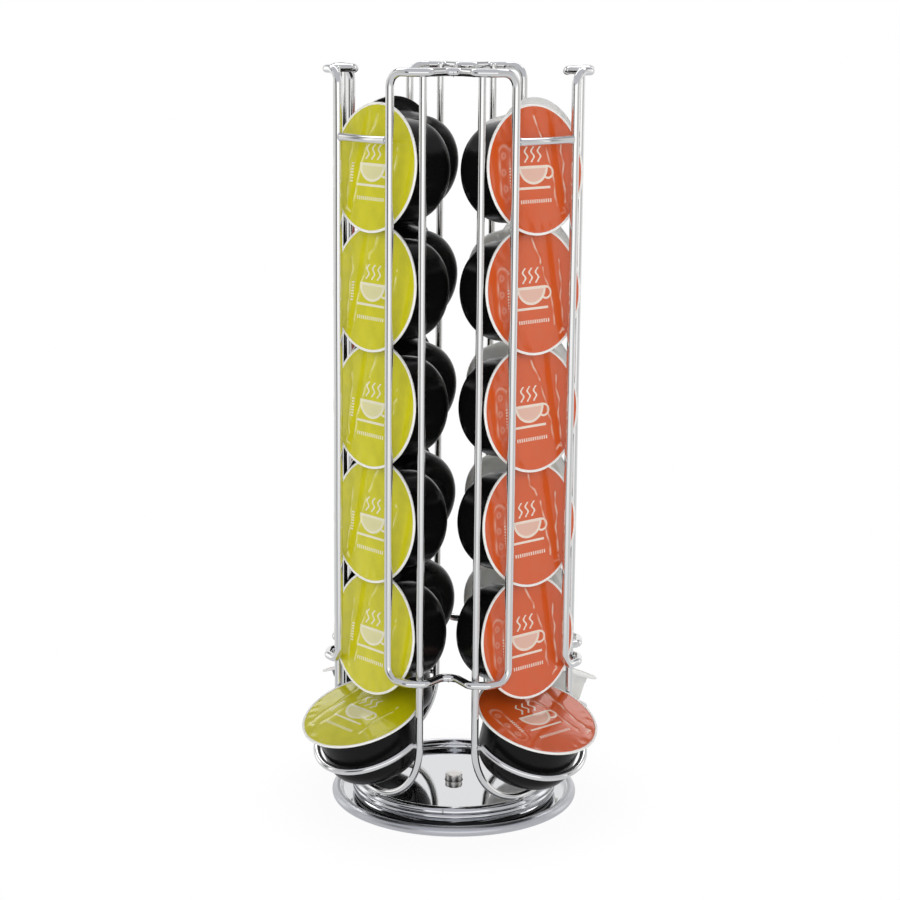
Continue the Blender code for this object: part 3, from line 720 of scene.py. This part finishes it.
def addPin(pin, material):
    radius, top, seat, low, shank = pin["radius"], pin["top"], pin["seat"], pin["low"], pin["shank"]
    ease = pin["shankEase"]
    section = [(out, top - drop) for out, drop in pin["face"]]
    section += [(radius - inset, top - drop) for inset, drop in pin["edge"]]
    section += [(radius - inset, seat + rise) for inset, rise in pin["shoulder"]]
    section += [(shank, seat), (shank, low + ease), (shank - ease, low), (0, low)]
    mesh = latheMesh("turned_pin", section, pin["segments"], False)
    keepPiece("turned_pin", mesh, "base", ["pivot_pin"], [material])


def addNut(nut, material):
    # six flats whose corners are cut back by a cone at both ends
    angles = anglesAround(nut["segments"])
    sixth = math.pi / 3
    flat = nut["corner"] * math.cos(sixth / 2)
    hexRadius = flat / np.cos((angles + sixth / 2) % sixth - sixth / 2)
    faced = np.minimum(hexRadius, flat + nut["faceInset"])
    low, top, bore = nut["low"], nut["top"], nut["bore"]
    chamfer, boreChamfer = nut["chamfer"], nut["boreChamfer"]
    rows = [(faced, low), (hexRadius, low + chamfer), (hexRadius, top - chamfer), (faced, top),
            (bore + boreChamfer, top), (bore, top - boreChamfer), (bore, low + boreChamfer),
            (bore + boreChamfer, low)]
    mesh = tidyMesh(skinRings("zinc_nut", ringsAround(rows, angles), True))
    keepPiece("zinc_nut", mesh, "base", ["pivot_nut"], [material], nut["creaseDegrees"])


addPin(pivot["pin"], turnedSteelMaterial(pivot["steel"]))
addNut(pivot["nut"], metalMaterials["nut"])
print("base built")

# Lids: printed and lacquered foil, sealed to the flange. The print is a steaming cup over a few plain bars

# each lid's colours: the foil, a second tone for its slow clouds, and the tint of a painted highlight along
# its creases
lids = {
    "front_left": {"foil": "#D8D20A", "shade": "#CCC710", "paintedHighlight": "#F7F2A6", "cup": "black", "hand": -1,
                   "oval": False},
    "front_right": {"foil": "#DA5719", "shade": "#D65A23", "paintedHighlight": "#F6D5C2", "cup": "black", "hand": 1,
                    "oval": True},
    "back_right": {"foil": "#DCD5C4", "shade": "#C9C1AE", "paintedHighlight": "#F8F5EC", "cup": "white", "hand": -1,
                   "oval": True},
    "back_left": {"foil": "#A8402B", "shade": "#93331F", "paintedHighlight": "#E2B4A4", "cup": "black", "hand": 1,
                  "oval": True},
}
printed = {
    "ink": "#F6F1E2",
    "grainPerMm": 2.4,
    "cover": (0.72, 0.95),   # the ink thins out in the foil's grain, so its white isn't solid
    # all as (middle across, middle up) and sizes in mm
    "bowl": {"middle": (-1.2, 1.2), "radius": (7.6, 6.6), "line": 1.15, "halftone": 0.6},
    "ear": {"middle": (7.0, -1.2), "radius": (2.7, 2.4), "line": 0.95},
    "saucer": {"middle": (-1.2, -7.4), "half": (9.0, 0.5)},
    "steam": {"across": (-4.9, -1.2, 2.5), "low": 3.2, "high": 9.6, "line": 0.5, "sway": 0.75, "wave": 4.4},
    # left, low, width, height, pitch and share of ink
    "bars": [(-9.4, -13.6, 17.4, 1.5, 1.28, 0.52), (-14.9, -6.6, 1.7, 8.6, 1.23, 0.5)],
}


def ringMask(tree, place, ring):
    # the line of an ellipse: a band about 1 of how far out each point lies as a share of the radius
    (across, up), (halfWidth, halfHeight) = ring["middle"], ring["radius"]
    local = addNode(tree, "ShaderNodeMapping", {
        "Vector": place, "Location": (across, up, 0), "Scale": (halfWidth, halfHeight, 1)},
        vector_type="TEXTURE")
    reach = addNode(tree, "ShaderNodeVectorMath", {0: local}, operation="LENGTH")
    return reach, 1.0, ring["line"] / (halfWidth + halfHeight)


def cupMarks(tree, place, across, up):
    # a bowl in half tone with an ear, a saucer, and three wisps of steam
    bowl, saucer, steam = printed["bowl"], printed["saucer"], printed["steam"]
    rimHeight, halfLine = bowl["middle"][1], bowl["line"] / 2
    wall, ear = (ringMask(tree, place, ring) for ring in (bowl, printed["ear"]))
    bowlReach = wall[0]
    below = addNode(tree, "ShaderNodeMath", {0: up, 1: rimHeight + halfLine}, operation="LESS_THAN")
    within = addNode(tree, "ShaderNodeMath", {0: bowlReach, 1: 1.0}, operation="LESS_THAN")
    beyond = addNode(tree, "ShaderNodeMath", {0: bowlReach, 1: 1.0}, operation="GREATER_THAN")
    turns = addNode(tree, "ShaderNodeMath", {0: up, 1: math.tau / steam["wave"]}, operation="MULTIPLY")
    sway = addNode(tree, "ShaderNodeMath", {0: turns}, operation="SINE")
    straight = addNode(tree, "ShaderNodeMath", {0: sway, 1: -steam["sway"], 2: across},
                       operation="MULTIPLY_ADD")
    level = (up, (steam["low"] + steam["high"]) / 2, (steam["high"] - steam["low"]) / 2)
    plate = [(value, middle, half)
             for value, middle, half in zip((across, up), saucer["middle"], saucer["half"])]
    return [[wall, below], [(up, rimHeight, halfLine), within], [within, below, bowl["halftone"]],
            [ear, beyond], plate] + [[(straight, wisp, steam["line"]), level] for wisp in steam["across"]]


def barMarks(tree, across, up, bars):
    # a row or a stack of equal bars, along its longer side
    left, low, width, height, pitch, share = bars
    run, start = (across, left) if width > height else (up, low)
    along = addNode(tree, "ShaderNodeMath", {0: run, 1: start}, operation="SUBTRACT")
    turns = addNode(tree, "ShaderNodeMath", {0: along, 1: pitch}, operation="DIVIDE")
    part = addNode(tree, "ShaderNodeMath", {0: turns}, operation="FRACT")
    inked = addNode(tree, "ShaderNodeMath", {0: part, 1: share}, operation="LESS_THAN")
    return [(across, left + width / 2, width / 2), (up, low + height / 2, height / 2), inked]


def printInk(tree, place):
    # a mark is inked where all its masks hold, and a mask (value, middle, half width) is a band
    parts = addNode(tree, "ShaderNodeSeparateXYZ", {0: place}).outputs
    across, up = parts["X"], parts["Y"]
    marks = cupMarks(tree, place, across, up)
    marks += [barMarks(tree, across, up, bars) for bars in printed["bars"]]
    ink = 0.0
    for masks in marks:
        mark = 1.0
        for mask in masks:
            if isinstance(mask, tuple):
                mask = addNode(tree, "ShaderNodeMath", dict(enumerate(mask)), operation="COMPARE")
            mark = addNode(tree, "ShaderNodeMath", {0: mark, 1: mask}, operation="MULTIPLY")
        ink = addNode(tree, "ShaderNodeMath", {0: ink, 1: mark}, operation="MAXIMUM")
    grain = addNode(tree, "ShaderNodeTexNoise", {
        "Vector": place, "Scale": printed["grainPerMm"], "Detail": 1})
    least, most = printed["cover"]
    cover = addNode(tree, "ShaderNodeMapRange", {
        "Value": grain, **noiseSpan, "To Min": least, "To Max": most})
    return addNode(tree, "ShaderNodeMath", {0: ink, 1: cover}, operation="MULTIPLY")


# aluminium foil, printed and lacquered: saturated colour, and a sharp reflection over a soft one, with a
# painted highlight along its creases
foil = {
    "sockets": {"Specular IOR Level": 0.12, "Coat Weight": 1.0, "Coat Roughness": 0.05, "Coat IOR": 1.5},
    "cloudMm": 9,
    "patch": (0.35, 0.65),
    "roughness": (0.34, 0.46),
    "wrinkleMm": 2.2,
    "wrinkleTwist": 0.6,
    "wrinkleDepthMm": 0.02,
    "wrinkleStrength": 0.5,
}
# its bare white border, pressed onto the flange by the sealing ring: half matt and slightly mottled
border = {
    "sockets": {"IOR": 1.5, "Coat Weight": 0.5, "Coat Roughness": 0.1, "Roughness": 0.35},
    "colours": ("#FFFEFB", "#F6F5F1"),
    "mottlePerMm": 1.2,
    "mottleDepthMm": 0.03,
    "mottleStrength": 0.4,
}


def foilMaterial(name, colours):
    material, tree, shader = newMaterial(name, foil["sockets"])
    place = addNode(tree, "ShaderNodeAttribute", attribute_name="lidPlace").outputs["Vector"]
    cloud = addNode(tree, "ShaderNodeTexNoise", {"Vector": place, "Scale": 1 / foil["cloudMm"], "Detail": 3})
    low, high = foil["patch"]
    patch = addNode(tree, "ShaderNodeMapRange", {"Value": cloud, "From Min": low, "From Max": high})
    # painted highlight: a light tint of the lid's own colour laid along the creases, the oval and the
    # dimples
    paintedHighlightMask = addNode(tree, "ShaderNodeAttribute", attribute_name="paintedHighlightShare").outputs["Fac"]
    colour = linearColour(colours["foil"])
    layers = [(patch, colours["shade"]), (printInk(tree, place), printed["ink"]), (paintedHighlightMask, colours["paintedHighlight"])]
    for share, over in layers:
        colour = addNode(tree, "ShaderNodeMix", {"Factor": share, "A": colour, "B": linearColour(over)},
                         data_type="RGBA")
    smooth, rough = foil["roughness"]
    gloss = addNode(tree, "ShaderNodeMapRange", {
        "Value": cloud, **noiseSpan, "To Min": smooth, "To Max": rough})
    wrinkles = addNode(tree, "ShaderNodeTexNoise", {
        "Vector": place, "Scale": 1 / foil["wrinkleMm"], "Detail": 3, "Distortion": foil["wrinkleTwist"]})
    bump = addNode(tree, "ShaderNodeBump", {
        "Height": wrinkles, "Distance": foil["wrinkleDepthMm"] * mm, "Strength": foil["wrinkleStrength"]})
    setSockets(tree, shader, {"Base Color": colour, "Roughness": gloss, "Normal": bump, "Coat Normal": bump})
    return material


def borderMaterial():
    material, tree, shader = newMaterial("white_foil_border", border["sockets"])
    place = addNode(tree, "ShaderNodeAttribute", attribute_name="lidPlace").outputs["Vector"]
    mottle = addNode(tree, "ShaderNodeTexNoise", {
        "Vector": place, "Scale": border["mottlePerMm"], "Detail": 2})
    light, dark = (linearColour(colour) for colour in border["colours"])
    tone = addNode(tree, "ShaderNodeMix", {"Factor": mottle, "A": light, "B": dark}, data_type="RGBA")
    bump = addNode(tree, "ShaderNodeBump", {
        "Height": mottle, "Distance": border["mottleDepthMm"] * mm, "Strength": border["mottleStrength"]})
    setSockets(tree, shader, {"Base Color": tone, "Normal": bump})
    return material


whiteBorder = borderMaterial()
foilMaterials = {name: foilMaterial(f"lacquered_foil_{name}", colours) for name, colours in lids.items()}

# Relief of the foil: creases, an embossed oval, slow buckles, and puckers along the seal, and a painted
# highlight along the creases, the oval and the dimples. All in mm

relief = {
    # creases as (points across and up, height, half width), turned over on the other hand
    "creases": [
        ([(0.4, 21.5), (1.8, 17.5), (4.2, 13.6), (5.0, 11.6)], 0.17, 0.30),
        ([(6.0, 9.0), (7.2, 5.4), (8.6, 1.6), (9.2, -2.2), (10.3, -6.0), (10.4, -10.5), (11.0, -15.0)],
         0.15, 0.30),
        ([(15.6, 12.0), (15.2, 7.0), (15.9, 2.0), (15.2, -3.5), (15.8, -9.0), (15.5, -14.5)], 0.13, 0.32),
        ([(13.6, -18.6), (14.6, -17.6), (15.8, -17.9), (15.2, -16.4)], 0.16, 0.34),
        ([(-14.2, 9.0), (-14.0, 8.2)], 0.14, 0.34),
    ],
    # the far side of the lid has either one long crease or an embossed long oval with three dimples
    "farCrease": ([(-14.4, 5.5), (-13.2, 2.6), (-12.6, -1.0), (-11.9, -3.4), (-12.3, -7.0), (-11.8, -12.5)],
                  0.15, 0.30),
    # the oval and the dimples: their relief, and the strength of a painted highlight on them
    "oval": {"middle": (-17.2, -0.6), "half": (2.9, 11.0), "height": 0.13, "halfWidth": 0.4, "paintedHighlight": 0.5},
    "dimples": {"middles": [(-17.6, 6.4), (-18.0, -0.4), (-17.4, -7.0)], "radius": 1.0, "height": 0.12,
                "halfWidth": 0.35, "paintedHighlight": 0.3},
    "stray": 0.35,                # how far each lid's creases stray from the pattern
    "depthShares": (0.7, 1.15),
    # a painted highlight follows the creases: its half width, and how it fades in and out along them; the
    # oval's painted highlight fades the same way
    "paintedHighlightHalfWidth": 0.27,
    "paintedHighlightWave": {"middle": 0.75, "swing": 0.45, "perMm": 0.8, "least": 0.2},
    "ovalHighlightWave": {"middle": 0.6, "swing": 0.4, "perMm": 0.7},
    "buckles": {"height": 0.035, "across": 6.3, "up": 9.1},
    "puckers": {"height": 0.03, "count": 23, "from": 20, "over": 5, "unevenCount": 5, "uneven": 2},
    "sag": 0.38,                  # the foil is drawn in a little over the coffee
    "flatEdge": (0.5, 1.2),
}


def bell(away, halfWidth):
    return np.exp(-(away / halfWidth) ** 2 / 2)


def distanceToLine(across, up, line):
    nearest = np.full(across.shape, np.inf)
    for start, end in zip(line[:-1], line[1:]):
        run = end - start
        share = ((across - start[0]) * run[0] + (up - start[1]) * run[1]) / (run @ run)
        share = np.clip(share, 0, 1)
        away = np.hypot(across - start[0] - share * run[0], up - start[1] - share * run[1])
        nearest = np.minimum(nearest, away)
    return nearest


def foilRelief(across, up, foilRadius, lid, seed):
    # how high the foil stands at each point, and how strong the painted highlight is there
    height = np.zeros_like(across)
    paintedHighlight = np.zeros_like(across)
    generator = np.random.default_rng(seed)
    across = across * lid["hand"]
    wave, ovalHighlightWave = relief["paintedHighlightWave"], relief["ovalHighlightWave"]
    for points, ridge, halfWidth in relief["creases"] + ([] if lid["oval"] else [relief["farCrease"]]):
        line = np.array(points) + generator.normal(0, relief["stray"], (len(points), 2))
        nearest = distanceToLine(across, up, line)
        depth = generator.uniform(*relief["depthShares"])
        height += ridge * depth * bell(nearest, halfWidth)
        broken = wave["middle"] + wave["swing"] * np.sin(up * wave["perMm"] + generator.uniform(0, math.tau))
        broken = np.clip(broken, wave["least"], 1)
        paintedHighlight = np.maximum(paintedHighlight, depth * broken * bell(nearest, relief["paintedHighlightHalfWidth"]))
    if lid["oval"]:
        oval, dimples = relief["oval"], relief["dimples"]
        (middle, level), (halfAcross, halfUp) = oval["middle"], oval["half"]
        # distance to a stadium outline
        straight = halfUp - halfAcross
        away = np.hypot(across - middle, np.maximum(np.abs(up - level) - straight, 0)) - halfAcross
        height += oval["height"] * bell(away, oval["halfWidth"])
        broken = ovalHighlightWave["middle"] + ovalHighlightWave["swing"] * np.sin(up * ovalHighlightWave["perMm"])
        paintedHighlight = np.maximum(paintedHighlight, oval["paintedHighlight"] * bell(away, oval["halfWidth"]) * broken)
        for x, y in dimples["middles"]:
            ring = bell(np.hypot(across - x, up - y) - dimples["radius"], dimples["halfWidth"])
            height += dimples["height"] * ring
            paintedHighlight = np.maximum(paintedHighlight, dimples["paintedHighlight"] * ring)
    phase = generator.uniform(0, math.tau, 4)
    buckles, puckers = relief["buckles"], relief["puckers"]
    height += buckles["height"] * np.sin(across / buckles["across"] + phase[0]) * np.sin(
        up / buckles["up"] + phase[1])
    reach = np.hypot(across, up)
    around = np.arctan2(up, across)
    pull = np.clip((reach - puckers["from"]) / puckers["over"], 0, 1) ** 2
    uneven = puckers["uneven"] * np.sin(around * puckers["unevenCount"] + phase[2])
    height += puckers["height"] * pull * np.sin(around * puckers["count"] + uneven + phase[3])
    edge, blend = relief["flatEdge"]
    flat = np.clip((foilRadius - edge - reach) / blend, 0, 1)
    sag = relief["sag"] * (1 - (reach / foilRadius) ** 2)
    return height * flat - sag, np.clip(paintedHighlight, 0, 1) * flat


# Capsules: one turned shell each, with its own creases in the foil

capsule = {
    "segments": 200,
    "creaseDegrees": 50,
    "foilRings": 72,
    "foilRadiusMm": 25.95,
    "foilLevelMm": -0.2,
    "lidRadiusMm": 27.0,
    "flangeMm": 0.9,
    "mouthRadiusMm": 22.7,
    "draftMm": 1.1,
    "wallFootMm": 19.7,
    "shoulderMm": 9.0,
    "shoulderSteps": 14,
    "lengthMm": 28.7,
    # profile as (past the radius named, height) and the material it takes
    "profile": [
        ("foilRadiusMm", "border", [(0.06, -0.24), (0.16, -0.08), (0.35, 0.0)]),
        ("lidRadiusMm", "border", [(-0.3, 0.0), (-0.12, -0.04), (0, -0.16), (0, -0.74), (-0.08, -0.86)]),
        ("lidRadiusMm", "cup", [(-0.2, -0.9), (-1.6, -0.9), (-1.8, -0.78)]),
        ("mouthRadiusMm", "cup", [(0.5, -0.78), (0.15, -0.95), (0, -1.3)]),
    ],
    "wallDepthsMm": (2.2, 3.2, 3.7, 3.9, 5.0, 8.0, 11.0, 14.0, 17.0, 18.7),
    "nestMm": (3.8, 0.28),                    # small step under the rim, where the capsules nest
    # the end is a rim round a shallow recess, with a small button in its middle
    "endRimMm": [(-1.2, 0.0), (-1.7, 0.15), (-2.1, 0.6), (-2.6, 0.8)],
    "buttonMm": [(6.0, 0.8), (3.2, 0.8), (2.8, 0.65), (2.3, 0.25), (1.9, 0.1), (0.9, 0.1), (0.0, 0.1)],
    "uprightMm": (47.8, 85.7637, 50.1035),    # outward, height of the lowest upright lid, pitch
    "uprightTiltDegrees": 6.3,
    "cradledMm": (54.0, 51.9938),
    "cradledLeanDegrees": 20.3,
}


def capsuleRows(setup):
    # (radius, height, material) from the middle of the lid to the middle of the end
    foilRadius, foilRings, shoulder = setup["foilRadiusMm"], setup["foilRings"], setup["shoulderMm"]
    mouth, foot, flange = setup["mouthRadiusMm"], setup["wallFootMm"], setup["flangeMm"]
    nestDepth, nestStep = setup["nestMm"]
    rows = [(foilRadius * i / foilRings, setup["foilLevelMm"], "foil") for i in range(foilRings + 1)]
    for edge, zone, points in setup["profile"]:
        rows += [(setup[edge] + past, height, zone) for past, height in points]
    slope = setup["draftMm"] / (foot - flange)
    for depth in setup["wallDepthsMm"]:
        step = nestStep if depth > nestDepth else 0.0
        rows.append((mouth - slope * (depth - flange) - step, -depth, "cup"))
    endRadius = mouth - setup["draftMm"] - shoulder
    for step in range(setup["shoulderSteps"] + 1):
        angle = math.pi / 2 * step / setup["shoulderSteps"]
        rows.append((endRadius + (shoulder - nestStep) * math.cos(angle), -foot - shoulder * math.sin(angle),
                     "cup"))
    end = [(endRadius + past, rise) for past, rise in setup["endRimMm"]] + setup["buttonMm"]
    return rows + [(radius, rise - setup["lengthMm"], "cup") for radius, rise in end]


def capsuleMesh(name, setup, lid, seed):
    # local frame: lid centre at the origin, facing +Z, local +X down the lid
    segments = setup["segments"]
    rows = capsuleRows(setup)
    rings = ringsAround([(radius, height) for radius, height, zone in rows], anglesAround(segments))
    count = setup["foilRings"] + 1
    raised, paintedHighlight = foilRelief(rings[:count, :, 1], -rings[:count, :, 0], setup["foilRadiusMm"], lid, seed)
    rings[:count, :, 2] += raised
    rings[:, :, 2] = np.minimum(rings[:, :, 2], 0.0)
    mesh = skinRings(name, rings, False)
    # each face takes the material of the ring it ends on
    zones = {"cup": 0, "foil": 1, "border": 2}
    faceZones = np.repeat([zones[zone] for radius, height, zone in rows[1:]], segments)
    mesh.polygons.foreach_set("material_index", faceZones.astype(np.int32))
    flat = np.zeros((len(mesh.vertices), 3))
    flat[:, 0] = rings[:, :, 1].reshape(-1)
    flat[:, 1] = -rings[:, :, 0].reshape(-1)
    addAttribute(mesh, "lidPlace", "FLOAT_VECTOR", flat.reshape(-1))
    # the painted highlight rides on the foil's points as an attribute, and is zero on the rest of the shell
    addAttribute(mesh, "paintedHighlightShare", "FLOAT", np.pad(paintedHighlight.reshape(-1), (0, len(flat) - paintedHighlight.size)))
    return tidyMesh(mesh)


def capsulePlace(setup, name, number):
    if number < capsulesPerColumn:
        out, height, pitch = setup["uprightMm"]
        height += (capsulesPerColumn - 1 - number) * pitch
        turn = 90 - setup["uprightTiltDegrees"]
    else:
        out, height = setup["cradledMm"]
        turn = setup["cradledLeanDegrees"]
    lean = Matrix.Rotation(math.radians(turn), 4, "Y")
    return turnedBy(columnAngles[name]) @ Matrix.Translation((out * mm, 0, height * mm)) @ lean


for index, (name, lid) in enumerate(lids.items()):
    for number in range(1, capsulesPerColumn + 1):
        node = f"capsule_{name}_{number}"
        mesh = capsuleMesh(f"foil_{node}", capsule, lid, index * 10 + number)
        mesh.transform(capsulePlace(capsule, name, number))
        materials = [plasticMaterials[lid["cup"]], foilMaterials[name], whiteBorder]
        keepPiece(mesh.name, mesh, node, [node], materials, capsule["creaseDegrees"])
    print("capsules sealed:", name)

# Studio: a white floor that fades into a white backdrop, soft lamps, and a tent for the chrome to mirror

studio = {
    "floorSizeMm": 6000,
    "floorColour": "#F6F6F6",    # matt white paper: it shows a soft shadow and mirrors nothing
    "floorRoughness": 0.9,
    "fadeMm": (56, 100),         # where the floor turns into the white backdrop
    "fadeLeast": 0.94,
    "plainLight": (0.90, 0.20),  # the plain light from low down and from overhead
    "plainRise": (0.15, 0.85),   # sines of the elevations between which it changes
    "backLight": 1.2,            # how much stronger it is from behind
    # what chrome and lacquer mirror, as (degrees from the front, right is positive, and brightness)
    "tent": [(-180, 1.0), (-165, 1.0), (-145, 0.75), (-130, 0.75), (-124, 1.3), (-114, 1.3), (-108, 0.75),
             (-99, 0.12), (-94.5, 0.45), (-91.5, 1.3), (-88, 1.3), (-82, 0.60), (-63, 0.60), (-57, 0.04),
             (-31, 0.04), (-26, 1.3), (40, 1.3), (46, 0.60), (78, 0.60), (83, 0.75), (88.8, 1.25),
             (90, 0.22), (101, 0.75), (108, 0.75), (114, 1.3), (124, 1.3), (130, 0.75), (145, 0.75),
             (165, 1.0), (180, 1.0)],
    # from here on, heights are sines of elevations, as (where it starts, where it is whole)
    "tentTop": (0.40, 0.46),     # where the tent gives way to the ceiling, lower at the front by the dip
    "tentDip": 0.26,
    "tentFoot": (-0.38, -0.06),
    "ceiling": "#C9CAD1",
    "table": "#DADBDE",
    # a bright panel high at the back, hung higher on the right, over a dark curtain
    "behind": (0.2, 0.35),
    "panelFoot": (0.664, 0.682),
    "panelTop": (0.86, 0.78),
    "panelLight": 2.8,
    "panelAskew": 0.075,
    "curtain": (0.50, 0.58),
    "curtainLight": 0.28,
    # the lamps light everything but the chrome, which mirrors the tent instead: place in mm and watts
    "lamps": {
        "softbox_left": ((-680, -740, 440), 0.9),
        "softbox_front": ((90, -1000, 420), 3.0),
        "softbox_right": ((740, -660, 400), 0.6),
    },
    "lampSizeMm": (600, 700),
    "lampAimMm": (0, 0, 160),
}


def addFloor(setup):
    half = setup["floorSizeMm"] * mm / 2
    mesh = bpy.data.meshes.new("studio_floor")
    corners = [(-half, -half, 0), (half, -half, 0), (half, half, 0), (-half, half, 0)]
    mesh.from_pydata(corners, [], [(0, 1, 2, 3)])
    floor = addObject("studio_floor", mesh)
    material, tree, shader = newMaterial("matt_paper_floor", {
        "Base Color": linearColour(setup["floorColour"]), "Roughness": setup["floorRoughness"]})
    place = addNode(tree, "ShaderNodeTexCoord").outputs["Object"]
    reach = addNode(tree, "ShaderNodeVectorMath", {0: place}, operation="LENGTH")
    near, far = setup["fadeMm"]
    fade = addNode(tree, "ShaderNodeMapRange", {
        "Value": reach, "From Min": near * mm, "From Max": far * mm, "To Min": setup["fadeLeast"]},
        interpolation_type="SMOOTHSTEP")
    rays = addNode(tree, "ShaderNodeLightPath").outputs
    share = addNode(tree, "ShaderNodeMath", {0: fade, 1: rays["Is Camera Ray"]}, operation="MULTIPLY")
    white = addNode(tree, "ShaderNodeEmission", {"Color": (1, 1, 1, 1), "Strength": 1.0})
    backdrop = addNode(tree, "ShaderNodeMixShader", {0: share, 1: shader, 2: white})
    # chrome looks through the floor at the tent, which goes on below it
    clear = addNode(tree, "ShaderNodeBsdfTransparent")
    mix = addNode(tree, "ShaderNodeMixShader", {0: rays["Is Glossy Ray"], 1: backdrop, 2: clear})
    setSockets(tree, tree.nodes["Material Output"], {"Surface": mix})
    mesh.materials.append(material)


def tentColour(tree, setup):
    # the tent by its bearing, with the ceiling, the curtain and the panel over it and the table below
    direction = addNode(tree, "ShaderNodeTexCoord").outputs["Generated"]
    toward = addNode(tree, "ShaderNodeSeparateXYZ", {0: direction}).outputs
    back = addNode(tree, "ShaderNodeMath", {0: toward["Y"], 1: -1.0}, operation="MULTIPLY")
    bearing = addNode(tree, "ShaderNodeMath", {0: toward["X"], 1: back}, operation="ARCTAN2")
    share = addNode(tree, "ShaderNodeMath", {0: bearing, 1: 1 / math.tau, 2: 0.5}, operation="MULTIPLY_ADD")
    tent = addNode(tree, "ShaderNodeValToRGB", {0: share})
    stops = tent.color_ramp.elements
    while len(stops) < len(setup["tent"]):
        stops.new(0.5)
    for stop, (degrees, brightness) in zip(stops, setup["tent"]):
        stop.position = (degrees + 180) / 360
        stop.color = (brightness, brightness, brightness, 1)
    front = addNode(tree, "ShaderNodeMath", {0: back, 1: 0.0}, operation="MAXIMUM")
    dipped = addNode(tree, "ShaderNodeMath", {0: front, 1: setup["tentDip"], 2: toward["Z"]},
                     operation="MULTIPLY_ADD")
    askew = addNode(tree, "ShaderNodeMath", {0: toward["X"], 1: -setup["panelAskew"], 2: toward["Z"]},
                    operation="MULTIPLY_ADD")
    spans = {"tentTop": dipped, "curtain": askew, "panelFoot": askew, "panelTop": askew,
             "behind": toward["Y"], "tentFoot": toward["Z"]}
    reached = {}
    for name, value in spans.items():
        start, whole = setup[name]
        reached[name] = addNode(tree, "ShaderNodeMapRange", {
            "Value": value, "From Min": start, "From Max": whole})
    highBehind = addNode(tree, "ShaderNodeMath", {0: reached["panelTop"], 1: reached["behind"]},
                         operation="MULTIPLY")
    curtain, panel = ((light, light, light, 1) for light in (setup["curtainLight"], setup["panelLight"]))
    layers = [("tentTop", 1.0, linearColour(setup["ceiling"])), ("curtain", highBehind, curtain),
              ("panelFoot", highBehind, panel)]
    colour = tent
    for name, where, over in layers:
        share = addNode(tree, "ShaderNodeMath", {0: reached[name], 1: where}, operation="MULTIPLY")
        colour = addNode(tree, "ShaderNodeMix", {"Factor": share, "A": colour, "B": over}, data_type="RGBA")
    table = linearColour(setup["table"])
    around = addNode(tree, "ShaderNodeMix", {"Factor": reached["tentFoot"], "A": table, "B": colour},
                     data_type="RGBA")
    return toward, around


def addWorld(setup):
    world = bpy.data.worlds.new("studio_world")
    bpy.context.scene.world = world
    world.use_nodes = True
    tree = world.node_tree
    tree.nodes.clear()
    toward, around = tentColour(tree, setup)
    mirrored = addNode(tree, "ShaderNodeBackground", {"Color": around, "Strength": 1.0})
    low, high = setup["plainRise"]
    lowest, highest = setup["plainLight"]
    level = addNode(tree, "ShaderNodeMapRange", {
        "Value": toward["Z"], "From Min": low, "From Max": high, "To Min": lowest, "To Max": highest})
    behind = addNode(tree, "ShaderNodeMath", {0: toward["Y"], 1: 0.0}, operation="MAXIMUM")
    more = addNode(tree, "ShaderNodeMath", {0: behind, 1: setup["backLight"], 2: 1.0},
                   operation="MULTIPLY_ADD")
    strength = addNode(tree, "ShaderNodeMath", {0: level, 1: more}, operation="MULTIPLY")
    plain = addNode(tree, "ShaderNodeBackground", {"Color": (1, 1, 1, 1), "Strength": strength})
    white = addNode(tree, "ShaderNodeBackground", {"Color": (1, 1, 1, 1), "Strength": 1.0})
    rays = addNode(tree, "ShaderNodeLightPath").outputs
    glossy = addNode(tree, "ShaderNodeMixShader", {0: rays["Is Glossy Ray"], 1: plain, 2: mirrored})
    seen = addNode(tree, "ShaderNodeMath", {0: rays["Is Camera Ray"], 1: rays["Is Transmission Ray"]},
                   operation="MAXIMUM")
    mix = addNode(tree, "ShaderNodeMixShader", {0: seen, 1: glossy, 2: white})
    addNode(tree, "ShaderNodeOutputWorld", {"Surface": mix})


def addLamps(setup):
    for name, (placeMm, watts) in setup["lamps"].items():
        data = bpy.data.lights.new(name, "AREA")
        data.shape = "RECTANGLE"
        data.size, data.size_y = (size * mm for size in setup["lampSizeMm"])
        data.energy = watts
        lamp = addObject(name, data)
        place = Vector(placeMm) * mm
        aim = (Vector(setup["lampAimMm"]) * mm - place).to_track_quat("-Z", "Y")
        lamp.matrix_world = Matrix.Translation(place) @ aim.to_matrix().to_4x4()
        lamp.visible_camera = False
        lamp.visible_glossy = False


bpy.context.scene.view_settings.view_transform = "Standard"
addFloor(studio)
addWorld(studio)
addLamps(studio)
print("studio ready")
